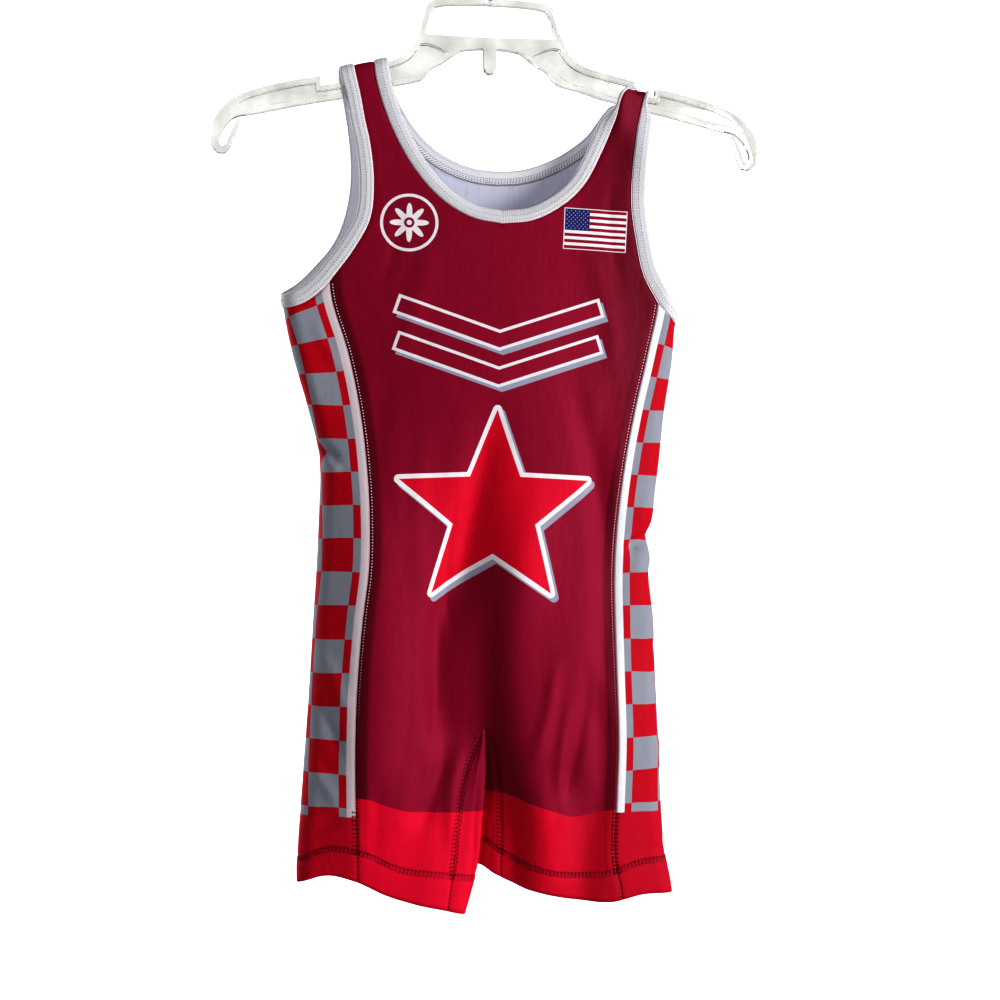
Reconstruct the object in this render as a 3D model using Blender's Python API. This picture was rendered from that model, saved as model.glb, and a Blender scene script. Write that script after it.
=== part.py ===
"""Youth wrestling singlet hanging by its straps on a clear plastic hanger.

Millimetres are used below and scaled to metres when the meshes are made. X runs to the viewer's right,
Y to the back and Z up. The origin is where the hanger's hook hangs, inside the top of its bend.

The garment is one skin: at each height a left and a right half section run from the front middle round
the side fold to the back middle, and below the crotch each half closes into a leg. Every cut piece is a
patch of that skin between its seams, given a wall inwards and drawn back a little from each seam.
"""

import math
from collections import namedtuple
from functools import lru_cache

import bmesh
import bpy
import numpy as np

MM = 0.001

# ---- Driving sizes -------------------------------------------------------------------------------

CLOTH_WALL = 1.2
BINDING_WALL = 1.2
BINDING_WIDTH = 9.4
SEAM_GAP = 0.3
DRAW_BACK = 0.21  # a little more than half the gap, as slanted walls come closer
SIDE_PANEL_WIDTH = 65.2
FOLD_ROUND = 10.0  # reach of the soft turn at each side fold
LEAN_REACH = 70.0  # how far from its inner fold a leg is pushed forwards or back
CROTCH_Z = -529.0
LEG_NOMINAL_END = -640.0
ARMHOLE_DIP = 17.0  # how far the armhole drops from the side seams to the side fold
ARMHOLE_DIP_REACH = 90.0
STRAP_TURN = 7.0  # height of the arch in which a strap turns over the hanger

LEFT, RIGHT = "left", "right"
FRONT, BACK = -1, 1

# Shape of the trunk and legs by height. Folds and seams are X positions; depth is the half thickness at
# the crest and edge_depth beside the side folds; dip is what is left of the crest at the middle and
# dip_width how wide that trough is; crest is where the crest lies, as a share from fold to middle.
Level = namedtuple(
    "Level",
    "z fold_left seam_left middle seam_right fold_right depth edge_depth dip dip_width crest",
)
LEVELS = (
    Level(-660, -118.0, -83.0, -0.8, 93.0, 128.0, 14.5, 7.0, 0.10, 34, 0.50),
    Level(-640, -121.0, -83.5, -0.8, 91.0, 127.2, 15.0, 7.0, 0.10, 34, 0.50),
    Level(-615, -121.8, -84.0, -0.8, 86.0, 122.6, 16.0, 7.0, 0.14, 36, 0.50),
    Level(-580, -119.7, -84.8, -0.8, 86.6, 119.4, 18.0, 7.5, 0.20, 38, 0.50),
    Level(-540, -117.0, -85.0, -0.6, 87.4, 117.6, 20.0, 8.0, 0.26, 44, 0.52),
    Level(-500, -114.5, -83.8, 0.2, 86.0, 115.0, 21.5, 8.0, 0.38, 50, 0.60),
    Level(-460, -112.3, -80.8, 1.1, 84.8, 113.3, 22.5, 8.0, 0.58, 56, 0.75),
    Level(-425, -110.2, -77.0, 1.9, 84.4, 109.5, 23.0, 8.0, 0.78, 60, 0.88),
    Level(-390, -108.8, -77.0, 2.7, 86.2, 112.0, 23.5, 8.0, 0.92, 62, 0.98),
    Level(-355, -109.2, -79.8, 3.5, 90.5, 116.0, 23.5, 8.0, 1.00, 62, 1.00),
    Level(-320, -118.0, -85.0, 4.3, 97.0, 119.5, 23.0, 8.0, 1.00, 62, 1.00),
    Level(-285, -128.3, -92.8, 5.1, 105.0, 124.6, 22.0, 8.0, 1.00, 62, 1.00),
    Level(-250, -135.0, -103.5, 5.8, 112.2, 126.5, 19.5, 8.0, 1.00, 62, 1.00),
    Level(-200, -137.0, -106.0, 6.9, 114.0, 130.0, 15.0, 8.0, 1.00, 62, 1.00),
    Level(-160, -137.0, -106.0, 7.2, 114.0, 132.0, 10.5, 7.5, 1.00, 62, 1.00),
    Level(-120, -137.0, -106.0, 7.2, 114.0, 134.0, 7.2, 6.6, 1.00, 62, 1.00),
    Level(-90, -137.0, -106.0, 7.2, 114.0, 134.0, 6.2, 6.2, 1.00, 62, 1.00),
)

# Inner side of each leg by height: where the inner fold lies, how round it is, how far it is pushed
# forwards (negative) or back, and where the front inseam runs.
LegLevel = namedtuple("LegLevel", "z fold_left fold_right round lean inseam_left inseam_right")
LEG_LEVELS = (
    LegLevel(-660, -15.5, -4.0, 9.0, 6.0, -26.5, 10.5),
    LegLevel(-640, -9.3, -4.0, 9.0, 6.0, -23.2, 10.0),
    LegLevel(-620, -4.8, -3.8, 9.0, 6.0, -20.4, 9.8),
    LegLevel(-590, -3.2, -2.8, 9.0, 6.0, -17.2, 9.4),
    LegLevel(-560, -2.0, -1.6, 7.0, 5.0, -12.0, 8.4),
    LegLevel(-540, -1.7, -0.2, 3.0, 2.0, -5.4, 4.6),
    LegLevel(CROTCH_Z, -0.5, -0.5, 0.01, 0.0, -0.5, -0.5),
)

# Height of each hem, by how far across the leg from the side fold to the inner fold.
HemPoint = namedtuple("HemPoint", "across left_front left_back right_front right_back")
HEMS = (
    HemPoint(0.00, -630.0, -630.0, -641.0, -641.0),
    HemPoint(0.16, -624.5, -629.0, -640.8, -638.5),
    HemPoint(0.33, -628.5, -631.0, -645.0, -637.0),
    HemPoint(0.50, -637.5, -635.0, -643.0, -635.0),
    HemPoint(0.67, -643.7, -639.5, -638.6, -632.0),
    HemPoint(0.84, -648.3, -645.5, -632.0, -627.0),
    HemPoint(1.00, -653.0, -653.0, -621.0, -621.0),
)

# Neck and armhole seams as (X, height) from the garment's middle or side seam up to the hanger. The neck's
# first X is the garment's middle. The last height is where the strap crosses the hanger's top edge.
NECK_SEAMS = {
    (LEFT, FRONT): (
        (None, -200.2), (-12.4, -196.6), (-31.7, -185.4), (-48.5, -167.4), (-62.7, -143.2), (-72.2, -118.8),
        (-76.4, -101.0), (-76.9, None),
    ),
    (LEFT, BACK): (
        (None, -171.7), (-8.0, -170.4), (-24.0, -165.8), (-40.0, -157.0), (-54.0, -144.0), (-66.0, -126.0),
        (-75.0, -104.0), (-76.9, None),
    ),
    (RIGHT, FRONT): (
        (None, -200.2), (26.4, -197.7), (46.0, -187.8), (61.0, -173.9), (73.6, -151.1), (82.8, -128.0),
        (86.8, -113.0), (90.4, -108.8), (95.6, -107.6), (99.8, -107.4), (101.5, None),
    ),
    (RIGHT, BACK): (
        (None, -171.7), (24.0, -170.2), (40.0, -165.4), (58.0, -156.0), (74.0, -143.0), (85.0, -128.0),
        (94.6, -117.0), (100.2, -111.0), (101.5, None),
    ),
}  # fmt: skip
ARM_SEAMS = {
    (LEFT, FRONT): (
        (-89.1, -218.7), (-78.9, -198.9), (-76.6, -174.6), (-79.3, -148.0), (-82.1, -135.7), (-86.0, -115.6),
        (-89.4, -101.0), (-90.2, None),
    ),
    (LEFT, BACK): (
        (-94.0, -219.0), (-85.5, -199.0), (-81.5, -176.0), (-81.5, -156.0), (-84.0, -135.0), (-87.5, -115.0),
        (-89.9, -102.0), (-90.2, None),
    ),
    (RIGHT, FRONT): (
        (102.4, -231.0), (97.2, -208.0), (94.2, -187.0), (94.4, -167.0), (97.2, -140.0), (100.8, -120.0),
        (103.0, -112.0), (105.6, None),
    ),
    (RIGHT, BACK): (
        (88.5, -229.0), (88.0, -208.0), (87.6, -187.0), (88.6, -167.0), (92.6, -140.0), (98.0, -122.0),
        (102.4, -113.0), (105.6, None),
    ),
}  # fmt: skip
SEAM_TOP = {LEFT: -240.3, RIGHT: -249.0}  # where the side seams end at the armholes

# Top of each strap over the hanger, by X.
RIDGES = {
    LEFT: ((-104.0, -101.0), (-97.0, -99.2), (-82.0, -95.8), (-66.0, -92.2), (-60.0, -89.0)),
    RIGHT: ((84.0, -97.0), (91.0, -98.5), (96.4, -104.0), (98.0, -107.0), (104.0, -108.1), (112.0, -109.3)),
}
# The right strap is bunched into the hanger's notch: its inner part rolls clear of the hanger's arm.
ROLL_X, ROLL_REACH, ROLL_HEIGHT = 86.0, 9.5, 7.0
ROLL_START, ROLL_FULL = -150.0, -112.0
FROZEN = {LEFT: -102.0, RIGHT: -104.0}  # above this height every section is the same
NOTCH_BINDING_SHARE = 0.24  # how much of its width a binding keeps in the notch
FOLDED_SHARE = 0.22  # what shows of the right neck binding where it is folded behind the strap

# Rows of cells up each panel and columns across it
LEG_ROWS, TRUNK_ROWS = 7, 13
UPPER_ROWS = {FRONT: (2, 9), BACK: (3, 7)}  # side seam's top to neck, neck to the strap's turn
TURN_ROWS = 4
NECK_FOOT = {FRONT: -232.0, BACK: -222.0}  # middle height of the row that meets the side seam's top
NECK_ROW_ARM = {(LEFT, FRONT): -213.0, (RIGHT, FRONT): -213.0, (LEFT, BACK): -188.0, (RIGHT, BACK): -188.0}
PANEL_COLUMNS, SIDE_COLUMNS, THIGH_COLUMNS = 9, 8, 4

# Hanger
ARM_HALF = 3.0
WEB_HALF = 0.9
HOOK_WIRE = 1.7
HOOK_INSIDE = 18.0
BORE_GAP = 0.45


# ---- Smooth tables -------------------------------------------------------------------------------


def smooth(knots, values, at):
    """Value at a place on a smooth curve through rising knots, held flat past its ends."""
    knots, values = np.asarray(knots, float), np.asarray(values, float)
    at = np.clip(np.asarray(at, float), knots[0], knots[-1])
    step = np.diff(knots)
    rise = np.diff(values) / step
    slope = np.concatenate([[rise[0]], (rise[:-1] + rise[1:]) / 2, [rise[-1]]])
    span = np.clip(np.searchsorted(knots, at) - 1, 0, len(step) - 1)
    t = (at - knots[span]) / step[span]
    return (
        values[span] * (2 * t**3 - 3 * t**2 + 1)
        + values[span + 1] * (3 * t**2 - 2 * t**3)
        + slope[span] * step[span] * (t**3 - 2 * t**2 + t)
        + slope[span + 1] * step[span] * (t**3 - t**2)
    )


def column(table, name, z):
    """A column of a table of levels, read at the height z."""
    return float(smooth([row.z for row in table], [getattr(row, name) for row in table], z))


def ramp(value, start, end):
    """0 at start and 1 at end, with soft ends."""
    t = np.clip((value - start) / (end - start), 0.0, 1.0)
    return t * t * (3 - 2 * t)


def quarter(share):
    """Height of a quarter circle at a share of its radius from its foot."""
    return np.sqrt(1 - (1 - np.clip(share, 0.0, 1.0)) ** 2)


class Trace:
    """A smooth line through points of a plane, read by share of its length."""

    def __init__(self, points):
        points = np.asarray(points, float)
        chord = np.concatenate([[0], np.cumsum(np.linalg.norm(np.diff(points, axis=0), axis=1))])
        fine = np.linspace(0, chord[-1], 400)
        self.points = np.stack([smooth(chord, points[:, i], fine) for i in (0, 1)], axis=1)
        steps = np.linalg.norm(np.diff(self.points, axis=0), axis=1)
        self.length = np.concatenate([[0], np.cumsum(steps)])

    def at(self, share):
        """The point at a share of the line's length."""
        place = share * self.length[-1]
        return np.array([np.interp(place, self.length, self.points[:, i]) for i in (0, 1)])

    def share_at_height(self, height):
        """The share of the length at which the line reaches a height."""
        order = np.argsort(self.points[:, 1])
        place = np.interp(height, self.points[order, 1], self.length[order])
        return place / self.length[-1]


# ---- The skin ------------------------------------------------------------------------------------


@lru_cache(maxsize=None)
def section(side, z):
    """Half section at the height z, from the front middle round the side fold to the back middle.

    Returns (along, x, y), where along is the length from the side fold, below 0 on the front. Below the
    crotch it is a leg's closed section, and it runs on round the leg's front once more.
    """
    outer = column(LEVELS, "fold_" + side, z)
    is_leg = z < CROTCH_Z
    inner = column(LEG_LEVELS, "fold_" + side, z) if is_leg else column(LEVELS, "middle", z)
    across = (1 - np.cos(np.linspace(0, math.pi, 81))) / 2
    from_inner = abs(outer - inner) * across
    from_outer = abs(outer - inner) * (1 - across)
    depth, edge = column(LEVELS, "depth", z), column(LEVELS, "edge_depth", z)
    swell = np.sin(math.pi / 2 * np.minimum(1, (1 - across) / column(LEVELS, "crest", z)))
    dip = column(LEVELS, "dip", z)
    trough = dip + (1 - dip) * quarter(from_inner / column(LEVELS, "dip_width", z))
    half = (edge + (depth - edge) * swell * trough) * quarter(from_outer / FOLD_ROUND)
    lean = 0.0
    if is_leg:
        half = half * quarter(from_inner / column(LEG_LEVELS, "round", z))
        push = column(LEG_LEVELS, "lean", z) * (-1 if side == LEFT else 1)
        lean = push * np.clip(1 - from_inner / LEAN_REACH, 0, 1) ** 2
    x = inner + (outer - inner) * across
    x = np.concatenate([x, x[-2::-1]])
    y = np.concatenate([lean - half, (lean + half)[-2::-1]])
    fold = len(across) - 1
    if is_leg:
        x, y = np.concatenate([x, x[:fold]]), np.concatenate([y, y[:fold]])
    along = np.concatenate([[0], np.cumsum(np.hypot(np.diff(x), np.diff(y)))])
    return along - along[fold], x, y


def key(z):
    """A height rounded so that equal heights share one section."""
    return round(float(z), 3)


def along_of_x(side, face, x, z):
    """How far from the side fold the skin's front or back lies at X."""
    along, xs, _ = section(side, key(z))
    fold = int(np.argmin(np.abs(along)))
    if face == FRONT:
        places, positions = along[: fold + 1], xs[: fold + 1]
    else:
        places, positions = along[fold : 2 * fold + 1], xs[fold : 2 * fold + 1]
    order = np.argsort(positions)
    return float(np.interp(x, positions[order], places[order]))


def front_seam(side, z):
    """Place of the front side seam, as a length from the side fold."""
    return along_of_x(side, FRONT, column(LEVELS, "seam_" + side, z), z)


def back_seam(side, z):
    """Place of the back side seam: the side panel's width on from the front one."""
    return front_seam(side, z) + SIDE_PANEL_WIDTH


def ridge_start(side, x):
    """Height at which a strap starts to turn over the hanger."""
    table = RIDGES[side]
    return float(np.interp(x, [p[0] for p in table], [p[1] for p in table])) - STRAP_TURN


def ridge_top(side, x):
    """Height coordinate of the top of the strap: the length up it, not only its rise."""
    return ridge_start(side, x) + STRAP_TURN * math.pi / 2


def skin(side, along, height):
    """Point of the skin at a length from the side fold and a height up the cloth."""
    lengths, xs, ys = section(side, key(min(height, FROZEN[side])))
    x, y = float(np.interp(along, lengths, xs)), float(np.interp(along, lengths, ys))
    if side == RIGHT and height > ROLL_START:
        roll = ROLL_HEIGHT * math.exp(-(((x - ROLL_X) / ROLL_REACH) ** 2))
        y += math.copysign(roll * float(ramp(height, ROLL_START, ROLL_FULL)), along)
    start = ridge_start(side, x)
    if height <= start:
        return np.array([x, y, height])
    turn = min((height - start) / STRAP_TURN, math.pi / 2)
    return np.array([x, y * math.sqrt(max(math.cos(turn), 0)), start + STRAP_TURN * math.sin(turn)])


def skin_x(side, face, x, height):
    """Point of the skin's front or back at an X and a height up the cloth."""
    return skin(side, along_of_x(side, face, x, min(height, FROZEN[side])), height)


def beside(side, x_from, x_to, height):
    """Height at another X that is as far round the strap's turn as a height at the first X."""
    start = ridge_start(side, x_from)
    return height + float(ramp(height, start - 15, start)) * (ridge_start(side, x_to) - start)


# ---- Rows of each half panel ---------------------------------------------------------------------


def hem_height(side, face, across):
    name = side + ("_front" if face == FRONT else "_back")
    return float(smooth([p.across for p in HEMS], [getattr(p, name) for p in HEMS], across))


def leg_height(side, face, x, step):
    """Height in the leg at a share of the way from the crotch to the hem, following the hem's curve."""
    level = CROTCH_Z + step * (LEG_NOMINAL_END - CROTCH_Z)
    outer, inner = column(LEVELS, "fold_" + side, level), column(LEG_LEVELS, "fold_" + side, level)
    across = (x - outer) / (inner - outer)
    return level + step**2 * (hem_height(side, face, across) - LEG_NOMINAL_END)


def leg_point(side, start, end, share, step):
    """Point of a leg between two places round it, which are functions of the height."""
    level = CROTCH_Z + step * (LEG_NOMINAL_END - CROTCH_Z)
    height = level
    for _ in range(4):
        place = start(side, height) + share * (end(side, height) - start(side, height))
        lengths, xs, _ys = section(side, key(height))
        x = float(np.interp(place, lengths, xs))
        face = FRONT if place < 0 or place > inner_corner(side, height) + 0.01 else BACK
        height = leg_height(side, face, x, step)
    return skin(side, place, height)


def inseam(side, z):
    """Place of the inseam on the leg's front, as a length from the side fold."""
    z = min(z, CROTCH_Z - 0.01)
    return along_of_x(side, FRONT, column(LEG_LEVELS, "inseam_" + side, z), z)


def inseam_from_back(side, z):
    """The same inseam, reached round the leg's back and inner fold."""
    z = min(z, CROTCH_Z - 0.01)
    lengths = section(side, key(z))[0]
    fold = int(np.argmin(np.abs(lengths)))
    around = lengths[2 * fold + 1]
    return around + (inseam(side, z) - lengths[0])


def inner_corner(side, z):
    """Where the leg's back meets its inner fold."""
    lengths = section(side, key(min(z, CROTCH_Z - 0.01)))[0]
    fold = int(np.argmin(np.abs(lengths)))
    return lengths[2 * fold]


def seam_trace(side, points, first):
    """Smooth line of a seam from its first X, with its last height on the strap's top."""
    filled = [(first if x is None else x, ridge_top(side, x) if z is None else z) for x, z in points]
    return Trace(filled)


def edge_traces(side, face):
    """The half panel's outer edge up from the side seam's top, and its inner edge up from the neck."""
    top = SEAM_TOP[side]
    seam = front_seam if face == FRONT else back_seam
    corner = float(np.interp(seam(side, top), *section(side, key(top))[:2]))
    arm = seam_trace(side, ((corner, top), *ARM_SEAMS[side, face]), None)
    neck = NECK_SEAMS[side, face]
    return arm, seam_trace(side, neck, column(LEVELS, "middle", neck[0][1]))


def upper_row_ends(side, face):
    """Outer and inner ends, as (X, height), of each row above the side seam's top."""
    arm, neck = edge_traces(side, face)
    low_rows, high_rows = UPPER_ROWS[face]
    split = arm.share_at_height(NECK_ROW_ARM[side, face])
    neck_z = neck.at(0)[1]
    ends = []
    for row in range(1, low_rows + 1):
        share = row / low_rows
        height = NECK_FOOT[face] + share * (neck_z - NECK_FOOT[face])
        ends.append((arm.at(split * share), np.array([column(LEVELS, "middle", height), height])))
    turns = [trace.share_at_height(ridge_start(side, trace.at(1)[0])) for trace in (arm, neck)]
    for row in range(1, high_rows + 1):
        share = row / high_rows
        ends.append((arm.at(split + (turns[0] - split) * share), neck.at(turns[1] * share)))
    for row in range(1, TURN_ROWS + 1):
        shares = [turn + (1 - turn) * row / TURN_ROWS for turn in turns]
        ends.append((arm.at(shares[0]), neck.at(shares[1])))
    return ends


def trunk_heights(side, face, row):
    """Heights of a trunk row at the side seam and at the middle."""
    share = row / TRUNK_ROWS
    return (
        CROTCH_Z + share * (SEAM_TOP[side] - CROTCH_Z),
        CROTCH_Z + share * (NECK_FOOT[face] - CROTCH_Z),
    )


def trunk_point(side, face, row, share):
    """Point of a half panel's trunk, from its side seam (share 0) to its middle (share 1)."""
    outer_z, inner_z = trunk_heights(side, face, row)
    seam = front_seam if face == FRONT else back_seam
    height = outer_z + share * (inner_z - outer_z)
    place = seam(side, height)
    start_x = float(np.interp(place, *section(side, key(height))[:2]))
    end_x = column(LEVELS, "middle", height)
    return skin_x(side, face, start_x + share * (end_x - start_x), height)


def upper_point(side, face, ends, share):
    """Point of a row above the side seam's top. Near the strap's turn a row keeps as far round it."""
    outer, inner = ends
    x, height = outer + share * (inner - outer)
    over = [end[1] - ridge_start(side, end[0]) for end in ends]
    turned = over[0] + share * (over[1] - over[0])
    near = float(ramp(turned, -15, 0))
    return skin_x(side, face, x, height + near * (ridge_start(side, x) + turned - height))


def half_panel(side, face):
    """Grid of points of one half of the front or back: a list of rows from the hem up."""
    shares = np.linspace(0, 1, PANEL_COLUMNS + 1)
    rows = []
    for row in range(LEG_ROWS, 0, -1):
        step = row / LEG_ROWS
        if face == FRONT:
            rows.append([leg_point(side, front_seam, inseam, s, step) for s in shares])
        else:
            back = [leg_point(side, back_seam, inner_corner, s, step) for s in shares]
            thigh = np.linspace(0, 1, THIGH_COLUMNS + 1)[1:]
            wrap = [leg_point(side, inner_corner, inseam_from_back, s, step) for s in thigh]
            rows.append(back + wrap)
    for row in range(TRUNK_ROWS + 1):
        rows.append([trunk_point(side, face, row, s) for s in shares])
    if face == BACK:
        crotch = rows[LEG_ROWS]
        front = trunk_point(side, FRONT, 0, 1.0)
        thigh = np.linspace(0, 1, THIGH_COLUMNS + 1)[1:]
        crotch.extend(crotch[-1] + (front - crotch[-1]) * s for s in thigh)
    for ends in upper_row_ends(side, face):
        rows.append([upper_point(side, face, ends, s) for s in shares])
    return rows


def side_panel(side):
    """Grid of points of a side panel: rows from the hem up, columns from the front seam to the back."""
    shares = np.linspace(0, 1, SIDE_COLUMNS + 1)
    rows = []
    for row in range(LEG_ROWS, 0, -1):
        rows.append([leg_point(side, front_seam, back_seam, s, row / LEG_ROWS) for s in shares])
    for row in range(TRUNK_ROWS + 1):
        level = trunk_heights(side, FRONT, row)[0]
        drop = ARMHOLE_DIP * float(ramp(level, SEAM_TOP[side] - ARMHOLE_DIP_REACH, SEAM_TOP[side]))
        points = []
        for s in shares:
            height = level - drop * 4 * s * (1 - s)
            place = front_seam(side, height) + s * SIDE_PANEL_WIDTH
            points.append(skin(side, place, height))
        rows.append(points)
    return rows


# ---- Meshes --------------------------------------------------------------------------------------


def unit(vector):
    return vector / np.linalg.norm(vector)


def material(name, colour, roughness, metallic=0.0):
    made = bpy.data.materials.new(name)
    made.use_nodes = True
    shader = made.node_tree.nodes["Principled BSDF"]
    shader.inputs["Base Color"].default_value = (*colour, 1)
    shader.inputs["Roughness"].default_value = roughness
    shader.inputs["Metallic"].default_value = metallic
    made.diffuse_color = (*colour, 1)
    return made


def object_from(name, bm, look):
    """One named object from a bmesh in millimetres."""
    bmesh.ops.scale(bm, vec=(MM, MM, MM), verts=bm.verts)
    mesh = bpy.data.meshes.new(name)
    bm.to_mesh(mesh)
    bm.free()
    mesh.materials.append(look)
    made = bpy.data.objects.new(name, mesh)
    bpy.context.scene.collection.objects.link(made)
    return made


class Skin:
    """The whole garment as one welded sheet, from which each piece takes its points and its normals."""

    def __init__(self):
        self.bm = bmesh.new()
        self.owner = self.bm.faces.layers.int.new("owner")
        self.names = []

    def add(self, name, rows, flip):
        """Adds a grid's cells to a piece. Rows of different lengths share their first columns."""
        if name not in self.names:
            self.names.append(name)
        grid = [[self.bm.verts.new(point) for point in row] for row in rows]
        for lower, upper in zip(grid, grid[1:]):
            for i in range(min(len(lower), len(upper)) - 1):
                corners = [lower[i], lower[i + 1], upper[i + 1], upper[i]]
                self.bm.faces.new(corners[::-1] if flip else corners)[self.owner] = self.names.index(name)

    def weld(self):
        bmesh.ops.remove_doubles(self.bm, verts=self.bm.verts, dist=0.05)
        self.bm.normal_update()

    def cells(self, name):
        return [face for face in self.bm.faces if face[self.owner] == self.names.index(name)]


def piece_object(skin_mesh, name, wall, look):
    """Solid of one piece: its cells, drawn back from its seams, with a wall inwards."""
    faces = skin_mesh.cells(name)
    bm = bmesh.new()
    inward = bm.verts.layers.float_vector.new("inward")
    made = {}
    for face in faces:
        for vert in face.verts:
            if vert not in made:
                made[vert] = bm.verts.new(vert.co)
                made[vert][inward] = -vert.normal * wall
        bm.faces.new([made[v] for v in face.verts])
    bm.normal_update()
    draw_back(bm, {made[v] for v in made if on_seam(v, set(faces))})
    grown = bmesh.ops.extrude_face_region(bm, geom=bm.faces[:])["geom"]
    for vert in (v for v in grown if isinstance(v, bmesh.types.BMVert)):
        vert.co += vert[inward]
    bmesh.ops.recalc_face_normals(bm, faces=bm.faces)
    made_object = object_from(name, bm, look)
    made_object.data.shade_smooth()
    made_object.data.set_sharp_from_angle(angle=math.radians(40))
    return made_object


def on_seam(vert, faces):
    """Whether a vertex of the skin is where this piece meets another."""
    return any(face not in faces for face in vert.link_faces)


def draw_back(bm, seam_verts):
    """Moves the seam's vertices half the seam gap into their own piece."""
    moves = {}
    for vert in seam_verts:
        rim = [edge for edge in vert.link_edges if len(edge.link_faces) == 1]
        pull, seams = np.zeros(3), 0
        for edge in rim:
            if all(v in seam_verts for v in edge.verts):
                seams += 1
                face = edge.link_faces[0]
                middle = (edge.verts[0].co + edge.verts[1].co) / 2
                line = np.array((edge.verts[1].co - edge.verts[0].co).normalized())
                inside = np.array(face.calc_center_median() - middle)
                inside -= line * inside.dot(line)
                pull += unit(inside)
        if seams:
            moves[vert] = pull * min(seams / pull.dot(pull), 2.5) * DRAW_BACK
    for vert, move in moves.items():
        for i in range(3):
            vert.co[i] += move[i]


def binding_rows(seam_points, edge_points):
    """Rows of a binding's cells from its seam to its open edge."""
    seam, edge = np.array(seam_points), np.array(edge_points)
    return [seam, (seam + edge) / 2, edge]


def outward(points, index, closed):
    """In a chart, the direction square to a line of points, to its left."""
    last = len(points) - 1
    before = points[index - 1 if index > 0 or closed else 0]
    after = points[(index + 1) % len(points) if closed else min(index + 1, last)]
    run = unit(np.array(after) - np.array(before))
    return np.array([-run[1], run[0]])


def notch_share(side, x, height):
    """Share of its width that a binding keeps: less where the right strap is bunched in the notch."""
    if side == LEFT:
        return 1.0
    return 1 - (1 - NOTCH_BINDING_SHARE) * float(ramp(height, -128, -112) * ramp(x, 88, 95))


def armhole_binding(side):
    """Rows of the armhole binding, round from the strap's top down the front, under the arm and up."""
    chart, points = [], []
    rows = {face: [outer for outer, _inner in upper_row_ends(side, face)] for face in (FRONT, BACK)}
    for face, run in ((FRONT, rows[FRONT][::-1]), (None, side_panel(side)[-1]), (BACK, rows[BACK])):
        for i, spot in enumerate(run):
            if face is None:
                share = i / SIDE_COLUMNS
                height = SEAM_TOP[side] - ARMHOLE_DIP * 4 * share * (1 - share)
                chart.append((front_seam(side, height) + share * SIDE_PANEL_WIDTH, height))
                points.append(spot)
            else:
                level = min(spot[1], FROZEN[side])
                chart.append((along_of_x(side, face, spot[0], level), spot[1]))
                points.append(skin_x(side, face, *spot))
    edges = []
    for i, (place, height) in enumerate(chart):
        normal = outward(chart, i, False)
        if i in (0, len(chart) - 1):
            normal = np.array([1.0 if i == 0 else -1.0, 0.0])
        width = BINDING_WIDTH * notch_share(side, points[i][0], height)
        along, up = np.array([place, height]) + normal * width
        x = points[i][0]
        x_edge = skin(side, along, min(up, FROZEN[side]))[0]
        edges.append(skin(side, along, beside(side, x, x_edge, up)))
    edges[-1] = edges[0]
    return binding_rows(points, edges)


def neck_binding_half(side, face):
    """Rows of a quarter of the neck binding, from the panel's middle up to the hanger."""
    ends = [inner for _outer, inner in upper_row_ends(side, face)][UPPER_ROWS[face][0] - 1 :]
    points = [skin_x(side, face, *p) for p in ends]
    inwards = 1.0 if side == LEFT else -1.0
    edges = []
    for i, (x, height) in enumerate(ends):
        normal = outward(ends, i, False) * -inwards
        if i == 0:
            normal = np.array([0.0, 1.0])
        if i == len(ends) - 1:
            normal = np.array([inwards, 0.0])
        width = BINDING_WIDTH * notch_share(side, x, height)
        if side == RIGHT and face == FRONT:
            width *= 1 - (1 - FOLDED_SHARE) * float(ramp(height, -134, -118) * (1 - ramp(x, 95.5, 99.5)))
        x_edge, up = np.array([x, height]) + normal * width
        if i == 0:
            x_edge = column(LEVELS, "middle", up)
        edges.append(skin_x(side, face, x_edge, beside(side, x, x_edge, up)))
    return binding_rows(points, edges)


def build_garment():
    looks = {
        "front_panel": material("maroon knit", (0.16, 0.002, 0.012), 0.6),
        "back_panel": material("maroon knit back", (0.15, 0.002, 0.012), 0.6),
        "side_panel_left": material("check knit left", (0.45, 0.08, 0.10), 0.6),
        "side_panel_right": material("check knit right", (0.45, 0.09, 0.11), 0.6),
        "neck_binding": material("white rib neck", (0.62, 0.62, 0.64), 0.7),
        "armhole_binding_left": material("white rib left", (0.62, 0.62, 0.64), 0.7),
        "armhole_binding_right": material("white rib right", (0.60, 0.60, 0.62), 0.7),
    }
    sheet = Skin()
    for side in (LEFT, RIGHT):
        mirrored = side == RIGHT
        sheet.add("front_panel", half_panel(side, FRONT), mirrored)
        sheet.add("back_panel", half_panel(side, BACK), not mirrored)
        sheet.add("side_panel_" + side, side_panel(side), not mirrored)
        sheet.add("armhole_binding_" + side, armhole_binding(side), not mirrored)
        for face in (FRONT, BACK):
            sheet.add("neck_binding", neck_binding_half(side, face), mirrored == (face == BACK))
    sheet.weld()
    for name, look in looks.items():
        piece_object(sheet, name, BINDING_WALL if "binding" in name else CLOTH_WALL, look)
    sheet.bm.free()


# ---- Hanger --------------------------------------------------------------------------------------

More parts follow.
